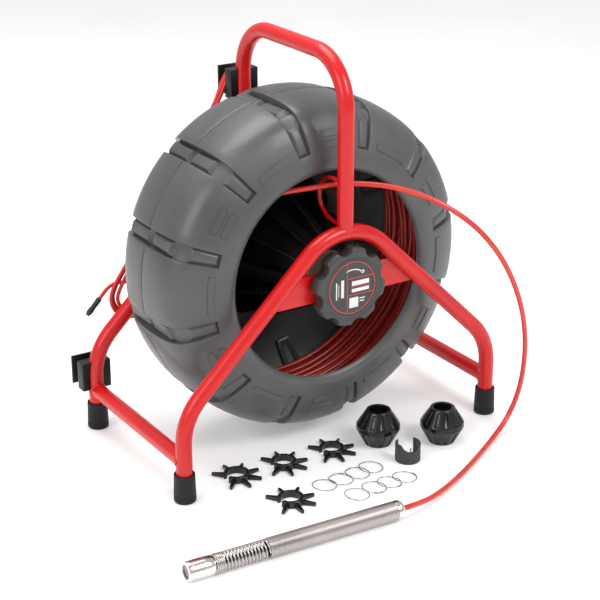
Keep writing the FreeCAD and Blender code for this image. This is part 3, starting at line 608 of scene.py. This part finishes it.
front_shell = whole_shell("moulded_front_shell", front_sector, True)
rear_shell = whole_shell("moulded_rear_shell", rear_sector, False)
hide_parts("drum_front_shell")
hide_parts("drum_rear_shell")
for part in (front_sector, rear_sector):
    bpy.data.objects.remove(part)
print("drum shells:", [len(s.data.polygons) for s in (front_shell, rear_shell)], "faces")

# %% [markdown]
# ## The wound cable
# Inside the drum the push cable lies in about forty turns, pressed outwards by its own stiffness. One
# long spline goes round and round: each layer is a little smaller than the one outside it, and every
# turn wanders slightly, because nothing on the real reel guides it. The random numbers have a seed, so
# the winding is the same each time.

# %% Winding
random.seed(41)
WOUND_LAYERS = [(0.2462, 15, 0.068, 0.003), (0.2390, 13, 0.068, 0.005), (0.2318, 8, 0.062, 0.011),
                (0.2262, 5, 0.056, 0.016)]
WOUND_STEPS = 20
wound_points = []
wound_side = -1
for layer_rad, layer_turns, half_wide, looseness in WOUND_LAYERS:
    drift = [random.uniform(-1, 1) for _ in range(layer_turns + 1)]
    for step in range(layer_turns * WOUND_STEPS):
        turn, share = divmod(step / WOUND_STEPS, 1)
        wander = drift[int(turn)] * (1 - share) + drift[int(turn) + 1] * share
        along = wound_side * half_wide * (2 * step / (layer_turns * WOUND_STEPS) - 1)
        angle = math.tau * share
        rad = layer_rad + 0.0009 * math.sin(3 * angle + turn)
        wound_points.append((rad * math.cos(angle), along + looseness * wander * math.sin(angle + turn),
                             AXLE_Z + rad * math.sin(angle)))
    wound_side = -wound_side
wound_cable = cable("wound_push_cable", wound_points, CABLE_DIA, 2)
wound_cable.data.splines[0].resolution_u = 3
print("wound cable:", round(line_length(wound_points), 1), "m in", len(wound_points), "points")

# %% [markdown]
# ## The lock knob
# The knob is a thick disc with eight finger scallops. A disc is spun from its profile, then eight
# cylinders are cut from its rim, and a bevel gives the rim the worn bright line of the real one.

# %% Knob
KNOB_SCALLOPS, SCALLOP_TURN, SCALLOP_RING, SCALLOP_RAD = 8, 11, 0.069, 0.015
knob = turned("lock_knob_body", [
    (0.0101, -0.1500), (0.0615, -0.1500), (0.0635, -0.1520), (0.0635, -0.1680), (0.0622, -0.1708),
    (0.0595, -0.1720), (0.0520, -0.1720), (0.0506, -0.1712), (0.0488, -0.1712), (0.0474, -0.1720),
    (0.0448, -0.1720), (0.0448, -0.1710), (0.0160, -0.1710), (0.0160, -0.1590), (0.0101, -0.1590),
    (0.0101, -0.1500)], 72)
cutters = []
for i in range(KNOB_SCALLOPS):
    turn = math.radians(SCALLOP_TURN + 360 / KNOB_SCALLOPS * i)
    deselect()
    bpy.ops.mesh.primitive_cylinder_add(
        vertices=32, radius=SCALLOP_RAD, depth=0.06, rotation=(math.pi / 2, 0, 0),
        location=(SCALLOP_RING * math.cos(turn), -0.161, SCALLOP_RING * math.sin(turn)))
    cutters.append(settle(named(f"scallop_{i}")))
scallops = joined("scallops", cutters)
modify(knob, "BOOLEAN", operation="DIFFERENCE", object=scallops, solver="EXACT")
bpy.data.objects.remove(scallops)
soften(knob, 0.0013, 2, 30)
knob.data.transform(Matrix.Translation(AXLE))
wear(knob, knob_grey, "knob", ["lock_knob"])
print("knob:", len(knob.data.polygons), "faces")

# %% [markdown]
# ## The knob's label
# A dark glossy disc fills the middle of the knob. The real one is printed, so here are only plain shapes
# in its colours: a red ring, red bars, pale bars in place of the words, a curved pale arrow and a pale
# square. Each inlay is a thin bevelled plate standing a tenth of a millimetre proud.

# %% Label
LABEL_Y = -0.1719
label_dark = finish("label_dark", (0.022, 0.022, 0.024), (0.034, 0.034, 0.036), 40, (0.22, 0.34), 900, 0.05)
label_red = finish("label_red", (0.50, 0.012, 0.014), (0.58, 0.018, 0.018), 60, (0.28, 0.4), 900, 0.05)
label_pale = finish("label_pale", (0.62, 0.62, 0.61), (0.74, 0.74, 0.73), 60, (0.3, 0.42), 900, 0.05)
label_disc = turned("label_disc", [(0, -0.1710), (0.0444, -0.1710), (0.0444, -0.17175), (0.0440, LABEL_Y),
                                   (0, LABEL_Y)], 64)


def inlay(name, x, z, wide, tall, turn=0):
    """A thin plate on the label, given by its middle, its sizes and its turn in degrees."""
    deselect()
    bpy.ops.mesh.primitive_cube_add(size=1)
    plate = named(name)
    plate.scale = (wide, 0.0002, tall)
    settle(plate)
    modify(plate, "BEVEL", width=0.00009, segments=1)
    plate.data.transform(Matrix.Translation((x, LABEL_Y, z))
                         @ Matrix.Rotation(-math.radians(turn), 4, "Y"))
    return plate


def band(name, inner, outer, start=0, sweep=360):
    """A thin flat ring, or part of one, on the label."""
    steps = max(8, int(abs(sweep) / 6))
    chain = outline(name, [(inner, LABEL_Y - 0.0001, 0), (outer, LABEL_Y - 0.0001, 0),
                           (outer, LABEL_Y + 0.0001, 0), (inner, LABEL_Y + 0.0001, 0),
                           (inner, LABEL_Y - 0.0001, 0)])
    edit(chain, "VERT")
    bpy.ops.mesh.select_all(action="SELECT")
    bpy.ops.mesh.spin(steps=steps, angle=math.radians(sweep), center=(0, 0, 0), axis=(0, 1, 0))
    done()
    tidy(chain, 1e-6)
    if sweep < 360:
        edit(chain, "EDGE")
        bpy.ops.mesh.select_all(action="SELECT")
        bpy.ops.mesh.fill_holes(sides=4)
        done()
    chain.data.transform(Matrix.Rotation(-math.radians(start), 4, "Y"))
    return chain


red_marks = [band("red_ring", 0.0412, 0.0427), inlay("red_chord", -0.0092, 0, 0.0014, 0.080),
             inlay("red_bar_top", 0.0150, 0.0150, 0.048, 0.0014),
             inlay("red_bar_middle", 0.0150, 0.0004, 0.036, 0.0012),
             inlay("red_bar_low", 0.0150, -0.0122, 0.047, 0.0014)]
pale_marks = [inlay("upper_bar", 0.0150, 0.0062, 0.032, 0.0074), inlay("lower_bar", 0.0150, -0.0052, 0.032, 0.0056),
              inlay("side_bar", -0.0180, 0.0010, 0.0052, 0.029), inlay("side_line", -0.0290, -0.0010, 0.0022, 0.028),
              inlay("side_line_thin", -0.0250, -0.0010, 0.0010, 0.020),
              inlay("pale_square", 0.0030, -0.0250, 0.0165, 0.0165),
              inlay("small_line_1", 0.0185, -0.0200, 0.010, 0.0018),
              inlay("small_line_2", 0.0180, -0.0245, 0.008, 0.0018),
              band("turn_arrow", 0.0285, 0.0303, 48, 64), inlay("arrow_head", 0.0190, 0.0230, 0.0052, 0.0052, 45)]
label_parts = [(label_disc, label_dark, "knob_label_disc"), (joined("marks_red", red_marks), label_red, "knob_label_red"),
               (joined("marks_pale", pale_marks), label_pale, "knob_label_pale")]
for piece, material, name in label_parts:
    piece.data.transform(Matrix.Translation(AXLE))
    piece.name = piece.data.name = name
    wear(piece, material, "knob", ["knob_label"] if piece is label_disc else ())
print("label:", [name for _, _, name in label_parts])

# %% [markdown]
# ## The camera head
# The head is a bright turned housing, a spring that lets it bend round corners, a long close-wound
# sleeve over the transmitter and a ferrule that grips the cable. All are round, so they are spun from
# profiles along one axis, and the spring is a small ring driven round that axis by the Screw modifier.

# %% Camera head pieces
HEAD = Matrix.Translation((-0.3985, -0.3538, 0.015)) @ Matrix.Rotation(math.radians(-92.55), 4, "Z")
HOUSING_LONG, SPRING_END, SLEEVE_END, HEAD_LONG = 0.040, 0.129, 0.345, 0.361


def on_head(piece, material, body, nodes_shown_by):
    piece.data.transform(HEAD)
    grab(piece)
    bpy.ops.object.shade_smooth_by_angle(angle=math.radians(35))
    return wear(piece, material, body, nodes_shown_by)


housing = turned("camera_housing", [
    (0.0105, 0), (0.0136, 0), (0.0147, 0.0006), (0.0150, 0.0016), (0.0150, 0.0060), (0.0146, 0.0065),
    (0.0146, 0.0078), (0.0150, 0.0083), (0.0150, 0.0250), (0.0146, 0.0254), (0.0146, 0.0266),
    (0.0150, 0.0270), (0.0150, 0.0386), (0.0143, 0.0400), (0.0116, 0.0400), (0.0116, 0.0550),
    (0.0045, 0.0550), (0.0045, 0.0370), (0.0120, 0.0370), (0.0120, 0.0020), (0.0105, 0.0020),
    (0.0105, 0)], 64)
on_head(housing, bright_steel, "camera_head", ["camera_body"])

RIDGES = 160
sleeve_points = [(0.0110, SPRING_END)]
ridge = (SLEEVE_END - SPRING_END) / RIDGES
for i in range(RIDGES):
    sleeve_points += [(0.0143, SPRING_END + ridge * i), (0.0150, SPRING_END + ridge * (i + 0.5))]
sleeve_points += [(0.0143, SLEEVE_END), (0.0110, SLEEVE_END), (0.0110, SPRING_END)]
sleeve = turned("close_wound_sleeve", sleeve_points, 40)
on_head(sleeve, spring_steel, "frame", ["transmitter_sleeve"])

ferrule = turned("cable_ferrule_body", [
    (0, SLEEVE_END), (0.0148, SLEEVE_END), (0.0150, 0.3460), (0.0150, 0.3482), (0.0143, 0.3488),
    (0.0143, 0.3500), (0.0149, 0.3506), (0.0148, 0.3528), (0.0128, 0.3560), (0.0098, 0.3578),
    (0.0080, 0.3596), (0.0060, HEAD_LONG), (0, HEAD_LONG)], 48)
on_head(ferrule, bright_steel, "frame", ["cable_ferrule"])
print("ridges on the sleeve:", RIDGES)

# %% Spring and the cord inside it
WIRE_RAD, COIL_RAD = 0.0014, 0.0134
CLOSED_TURNS, OPEN_TURNS = 5, 13


def coil(name, start, turns, pitch):
    """A small ring at the wire's place, driven round the head's axis."""
    deselect()
    bpy.ops.mesh.primitive_circle_add(vertices=10, radius=WIRE_RAD, fill_type="NOTHING",
                                      location=(COIL_RAD, start, 0))
    piece = settle(named(name))
    modify(piece, "SCREW", axis="Y", angle=math.tau * turns, screw_offset=pitch * turns, iterations=1,
           steps=26 * turns, render_steps=26 * turns, use_merge_vertices=True)
    edit(piece, "EDGE")
    bpy.ops.mesh.select_all(action="SELECT")
    bpy.ops.mesh.fill_holes(sides=0)
    done()
    return tidy(piece, 1e-6)


closed_long = CLOSED_TURNS * 2 * WIRE_RAD
coil_start = HOUSING_LONG + WIRE_RAD + 0.0001
open_start = coil_start + closed_long
open_pitch = (SPRING_END - WIRE_RAD - 0.0001 - open_start) / OPEN_TURNS
spring = joined("head_spring", [coil("closed_turns", coil_start, CLOSED_TURNS, 2 * WIRE_RAD),
                                coil("open_turns", open_start, OPEN_TURNS, open_pitch)])
CORD_START, CORD_END = HOUSING_LONG + 0.0034, SPRING_END + 0.0060
cord_side = [(0.004, CORD_START + (CORD_END - CORD_START) * i / 24) for i in range(25)]
inner_cord = turned("head_spring_cord", [(0, CORD_START)] + cord_side + [(0, CORD_END)], 16)
for piece, material, slot, node in ((spring, spring_steel, "spring_steel", "camera_spring"),
                                    (inner_cord, dark_core, "dark_core", "spring_cord")):
    piece.data.transform(HEAD)
    grab(piece)
    bpy.ops.object.shade_smooth_by_angle(angle=math.radians(50))
    piece.data.materials.append(material)
    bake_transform(piece)
    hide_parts(node)
print("spring:", CLOSED_TURNS, "closed and", OPEN_TURNS, "open turns")

# %% [markdown]
# ## The clip-on guides
# These loose parts centre the camera in pipes of different sizes. The stars are open rings with seven
# tapered spokes: a ring is spun, one spoke is shaped from a block and copied round it, and booleans join
# them and open the gap. The balls are spun with few steps, so that each flat can be inset as a panel.

# %% Star guides
STAR_PLACES = [(-0.186, -0.131, 1.6), (-0.102, -0.135, -11.5), (-0.013, -0.138, -4.9),
               (-0.156, -0.242, -4.4)]
star_ring = turned("star_ring", [(0.0152, 0.0006), (0.0158, 0), (0.0199, 0), (0.0205, 0.0008),
                                 (0.0205, 0.0102), (0.0197, 0.0110), (0.0158, 0.0110), (0.0152, 0.0104),
                                 (0.0152, 0.0006)], 64, axis=(0, 0, 1))
deselect()
bpy.ops.mesh.primitive_cube_add(size=1, location=(0.0290, 0, 0.0035), scale=(0.0225, 0.0084, 0.0070))
spoke = settle(named("spoke"))
edit(spoke)
pick(spoke, lambda middle, normal: normal.x > 0.9)
bpy.ops.transform.resize(value=(1, 0.52, 0.80), center_override=(0.0402, 0, 0.0028))
done()
modify(spoke, "BEVEL", width=0.0011, segments=3, limit_method="ANGLE", angle_limit=math.radians(30))
spokes = joined("spokes", [copy_of(spoke, f"spoke_{i}", Matrix.Rotation(math.radians(45 * i), 4, "Z"))
                           for i in range(8) if i != 4])
bpy.data.objects.remove(spoke)
deselect()
bpy.ops.mesh.primitive_cube_add(size=1, location=(-0.018, 0, 0.0055), scale=(0.012, 0.014, 0.020))
gap = settle(named("gap"))
deselect()
bpy.ops.mesh.primitive_cylinder_add(vertices=64, radius=0.0152, depth=0.03, location=(0, 0, 0.005))
bore = settle(named("bore"))
star = star_ring
modify(star, "BOOLEAN", operation="UNION", object=spokes, solver="EXACT")
modify(star, "BOOLEAN", operation="DIFFERENCE", object=bore, solver="EXACT")
modify(star, "BOOLEAN", operation="DIFFERENCE", object=gap, solver="EXACT")
for tool in (spokes, gap, bore):
    bpy.data.objects.remove(tool)
for i, (x, y, turn) in enumerate(STAR_PLACES, 1):
    place = Matrix.Translation((x, y, 0)) @ Matrix.Rotation(math.radians(turn), 4, "Z")
    guide = copy_of(star, f"star_guide_{i}_body", place)
    grab(guide)
    bpy.ops.object.shade_smooth_by_angle(angle=math.radians(40))
    wear(guide, gloss_guide, f"loose_star_{i}", [f"star_guide_{i}"])
bpy.data.objects.remove(star)
print("stars:", len(STAR_PLACES))

# %% Ball guides
BALL_PLACES = [(0.070, -0.149), (0.163, -0.197)]
PANELS = 12
ball = turned("ball", [(0.0195, 0), (0.0218, 0), (0.0230, 0.0022), (0.0352, 0.0248), (0.0360, 0.0275),
                       (0.0360, 0.0336), (0.0350, 0.0362), (0.0212, 0.0576), (0.0200, 0.0600),
                       (0.0152, 0.0600), (0.0152, 0.0560), (0.0180, 0.0560), (0.0333, 0.0328),
                       (0.0333, 0.0278), (0.0195, 0)], PANELS * 2, axis=(0, 0, 1))
edit(ball)
pick(ball, lambda middle, normal: math.hypot(middle.x, middle.y) > 0.0222 and normal.dot(middle.xy.to_3d()) > 0
     and 0.0035 < middle.z < 0.0560 and not 0.0255 < middle.z < 0.0355
     and int(((math.degrees(math.atan2(middle.y, middle.x)) + 360) % 360) // (180 / PANELS)) % 2 == 0)
bpy.ops.mesh.inset(thickness=0.0012, depth=-0.0022, use_individual=True)
done()
soften(ball, 0.0005, 2, 22)
for i, (x, y) in enumerate(BALL_PLACES, 1):
    guide = copy_of(ball, f"ball_guide_{i}_body", Matrix.Translation((x, y, 0)))
    wear(guide, gloss_guide, f"loose_ball_{i}", [f"ball_guide_{i}"])
bpy.data.objects.remove(ball)

# %% Collar
COLLAR_PLACE = Matrix.Translation((0.076, -0.223, 0)) @ Matrix.Rotation(math.radians(-20), 4, "Z")
collar = turned("collar_clip_body", [(0.0166, 0.0004), (0.0170, 0), (0.0195, 0), (0.0199, 0.0006),
                                     (0.0199, 0.0304), (0.0195, 0.0310), (0.0170, 0.0310),
                                     (0.0166, 0.0306), (0.0166, 0.0004)], 60, axis=(0, 0, 1))
edit(collar)
pick(collar, lambda middle, normal: math.hypot(middle.x, middle.y) > 0.0197 and 0.002 < middle.z < 0.030
     and int((math.degrees(math.atan2(middle.y, middle.x)) + 360) % 360 // 6) % 2 == 0)
bpy.ops.mesh.inset(thickness=0.0003, depth=0.0005, use_individual=True)
done()
deselect()
bpy.ops.mesh.primitive_cube_add(size=1, location=(0, 0.017, 0.0155), scale=(0.026, 0.028, 0.033))
collar_gap = settle(named("collar_gap"))
deselect()
bpy.ops.mesh.primitive_cylinder_add(vertices=48, radius=0.014, depth=0.04, location=(0, 0, 0.035),
                                    rotation=(math.pi / 2, 0, 0))
collar_dip = settle(named("collar_dip"))
for tool in (collar_gap, collar_dip):
    modify(collar, "BOOLEAN", operation="DIFFERENCE", object=tool, solver="EXACT")
    bpy.data.objects.remove(tool)
collar.data.transform(COLLAR_PLACE)
grab(collar)
bpy.ops.object.shade_smooth_by_angle(angle=math.radians(35))
wear(collar, collar_grey, "loose_collar", ["collar_clip"])
print("collar:", len(collar.data.polygons), "faces")

# %% [markdown]
# ## The split rings
# Eight thin spring-wire rings hold the guides on. Each is wound a little more than once, as a key ring
# is, so its ends lie one above the other. The Screw modifier makes one, and copies lie leaning a little.

# %% Wire rings
RING_PLACES = [(-0.085, -0.227), (-0.053, -0.225), (-0.020, -0.222), (0.009, -0.217), (-0.059, -0.278),
               (-0.024, -0.274), (0.005, -0.273), (0.035, -0.272)]
RING_RAD, RING_WIRE, RING_LEAN = 0.019, 0.00075, 3.0
deselect()
bpy.ops.mesh.primitive_circle_add(vertices=8, radius=RING_WIRE, fill_type="NOTHING",
                                  location=(RING_RAD, 0, 0), rotation=(math.pi / 2, 0, 0))
wire = settle(named("wire"))
modify(wire, "SCREW", axis="Z", angle=math.radians(405), screw_offset=0.0012, iterations=1, steps=64,
       render_steps=64, use_merge_vertices=False)
edit(wire, "EDGE")
bpy.ops.mesh.select_all(action="SELECT")
bpy.ops.mesh.fill_holes(sides=0)
done()
tidy(wire, 1e-6)
lift = RING_WIRE + RING_RAD * math.sin(math.radians(RING_LEAN))
wires = []
for i, (x, y) in enumerate(RING_PLACES):
    place = (Matrix.Translation((x, y, lift)) @ Matrix.Rotation(math.radians(RING_LEAN), 4, "Y")
             @ Matrix.Rotation(math.radians(47 * i), 4, "Z"))
    wires.append(copy_of(wire, f"wire_{i}", place))
bpy.data.objects.remove(wire)
wires = joined("split_rings", wires)
grab(wires)
bpy.ops.object.shade_smooth_by_angle(angle=math.radians(60))
wear(wires, ring_wire, "loose_rings", ["wire_rings"])
print("rings:", len(RING_PLACES))

# %% [markdown]
# ## Feet and plug
# The rubber feet are sleeves with a rolled rim, a little wider at the floor. The plug has a ribbed grip
# so that it can be pulled. Both are spun from their profiles.

# %% Feet
for depth_name, depth_sign in (("front", -1), ("rear", 1)):
    for side_name, side in (("left", -1), ("right", 1)):
        foot = turned(f"{depth_name}_{side_name}_foot_rubber", [
            (0, 0), (0.0156, 0), (0.0170, 0.0012), (0.0175, 0.0040), (0.0173, 0.0100), (0.0168, 0.0110),
            (0.0168, 0.0124), (0.0172, 0.0134), (0.0163, 0.0430), (0.0166, 0.0440), (0.0160, 0.0458),
            (0.0140, 0.0460), (0.0128, 0.0452), (0.0128, 0.0080), (0, 0.0080)], 40, axis=(0, 0, 1))
        foot.data.transform(Matrix.Translation((0.288 * side, 0.150 * depth_sign, 0)))
        grab(foot)
        bpy.ops.object.shade_smooth_by_angle(angle=math.radians(40))
        wear(foot, foot_rubber, "frame", [f"{depth_name}_{side_name}_foot"])

PLUG_START, PLUG_END = Vector((-0.260, 0.181, 0.212)), Vector((-0.284, 0.181, 0.187))
plug_profile = [(0, 0), (0.0036, 0), (0.0044, 0.0010), (0.0049, 0.0030)]
for i in range(7):
    plug_profile += [(0.0049, 0.0050 + 0.0022 * i), (0.0043, 0.0056 + 0.0022 * i), (0.0043, 0.0064 + 0.0022 * i)]
plug_profile += [(0.0049, 0.0210), (0.0049, 0.0290), (0.0044, 0.0306), (0.0034, 0.0330), (0.0030, 0.0346), (0, 0.0346)]
plug = turned("system_cable_plug_body", plug_profile, 24, axis=(0, 0, 1))
plug.data.transform(Matrix.Translation(PLUG_START)
                    @ Vector((0, 0, 1)).rotation_difference(PLUG_END - PLUG_START).to_matrix().to_4x4())
grab(plug)
bpy.ops.object.shade_smooth_by_angle(angle=math.radians(35))
plug_black = finish("plug_black", (0.010, 0.010, 0.011), (0.018, 0.018, 0.019), 60, (0.4, 0.55), 1200, 0.2)
wear(plug, plug_black, "frame", ["system_cable_plug"])
print("feet and plug done")

# %% [markdown]
# ## Soft-edged mouldings
# The wraps, the junction box and the post's pad have the right shape in the CAD model but knife-sharp
# edges. A copy of each is merged and its flat triangles are dissolved, so a bevel can round the edges.

# %% Soft-edged copies
for name, width, material, slot in (("upper_cable_wrap", 0.0012, black_moulding, "black_plastic"),
                                    ("lower_cable_wrap", 0.0012, black_moulding, "black_plastic"),
                                    ("cable_junction_box", 0.0025, black_moulding, "black_plastic"),
                                    ("guide_pad", 0.0012, black_moulding, "black_plastic")):
    piece = copy_of(nodes[name], f"{name}_soft", Matrix.Identity(4))
    body = nodes[name]["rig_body"]
    piece.parent = None
    for key in list(piece.keys()):
        del piece[key]
    tidy(piece, 1e-6)
    edit(piece)
    bpy.ops.mesh.select_all(action="SELECT")
    bpy.ops.mesh.dissolve_limited(angle_limit=math.radians(2))
    done()
    soften(piece, width, 2, 40)
    wear(piece, material, body, [name])
    print(piece.name, len(piece.data.polygons), "faces")

# %% [markdown]
# ## Weld beads
# Where one tube meets another, the real frame has a small rounded weld under the paint. Two equal tubes
# meet in a saddle, so each bead is a closed curve along that saddle, made a mesh.

# %% Welds
TUBE_RAD, BEAD_RAD, POST_Z = 0.0127, 0.0021, 0.3768


def bead(name, points):
    curve = bpy.data.curves.new(name, "CURVE")
    curve.dimensions, curve.bevel_depth, curve.bevel_resolution = "3D", BEAD_RAD, 2
    spline = curve.splines.new("NURBS")
    spline.points.add(len(points) - 1)
    for i, (point, place) in enumerate(zip(spline.points, points)):
        point.co = (*place, 1)
        point.radius = 1 + 0.16 * math.sin(4.7 * i)
    spline.order_u, spline.use_cyclic_u, spline.resolution_u = 3, True, 3
    piece = bpy.data.objects.new(name, curve)
    bpy.context.collection.objects.link(piece)
    grab(piece)
    bpy.ops.object.convert(target="MESH")
    return bpy.context.object


def saddle(count=28):
    for i in range(count):
        angle = math.tau * i / count
        yield TUBE_RAD * math.cos(angle), TUBE_RAD * math.sin(angle)


beads = []
for side in (-1, 1):
    for depth in (-1, 1):
        beads.append(bead(f"rail_bead_{side}_{depth}",
                          [(0.288 * side + a, depth * (0.150 - abs(b) - 0.0004), 0.067 + b)
                           for a, b in saddle()]))
print("beads:", len(beads))
weld_beads = joined("weld_beads", beads)
grab(weld_beads)
bpy.ops.object.shade_smooth_by_angle(angle=math.radians(60))
wear(weld_beads, red_powder_coat, "frame")

# %% [markdown]
# ## Finishes for the CAD nodes
# What the CAD model already shapes well keeps its mesh and gets a finish in its material slots: the
# painted frame, the plated hardware, the black hub, the glass and the lights behind it.

# %% Finishes on the CAD nodes
glass = finish("window_glass", (0.02, 0.025, 0.03), (0.04, 0.045, 0.05), 60, (0.02, 0.06), 600, 0.02, coat=1.0)
glass.node_tree.nodes["Principled BSDF"].inputs["Transmission Weight"].default_value = 0.6
lamp = finish("lamp_ring", (0.70, 0.66, 0.50), (0.86, 0.84, 0.72), 420, (0.3, 0.5), 900, 0.3, speckle=0.4)
FINISHES = {
    red_powder_coat: ("front_frame_tube", "rear_frame_tube", "handle_tube", "left_side_rail", "right_side_rail",
                      "front_cross_plate", "rear_cross_plate", "guide_loop"),
    black_moulding: ("hub_core", "slip_ring_rotor", "slip_ring_housing"),
    zinc_plate: ("axle_shaft", "axle_nut", "axle_washer", "hub_bolts", "knob_screw", "front_bearing",
                 "rear_bearing", "brake_pins", "junction_connector"),
    brake_lining: ("brake_ring",),
    gland_rubber: ("system_cable_gland",),
    dark_core: ("levelling_core", "transmitter"),
    glass: ("camera_window",),
    lamp: ("light_ring",),
}
for material, names in FINISHES.items():
    for name in names:
        for i in range(max(1, len(nodes[name].data.materials))):
            if i < len(nodes[name].data.materials):
                nodes[name].data.materials[i] = material
            else:
                nodes[name].data.materials.append(material)
print("CAD nodes finished:", sum(len(names) for names in FINISHES.values()))

# %% [markdown]
# ## The cables' finishes
# Both cables are real lengths of something flexible. Each gets its jacket and the body it moves with, and
# takes the place of the CAD model's cable nodes. The winding in the drum turns with the drum.

# %% Cables finished
wear(push_cable, push_jacket, "frame", ["push_cable"])
wear(wound_cable, stored_jacket, "drum", ["stored_cable"])
wear(system_cable, lead_jacket, "frame",
     ["system_cable", "system_cable_hank", "system_cable_tail"])

# %% [markdown]
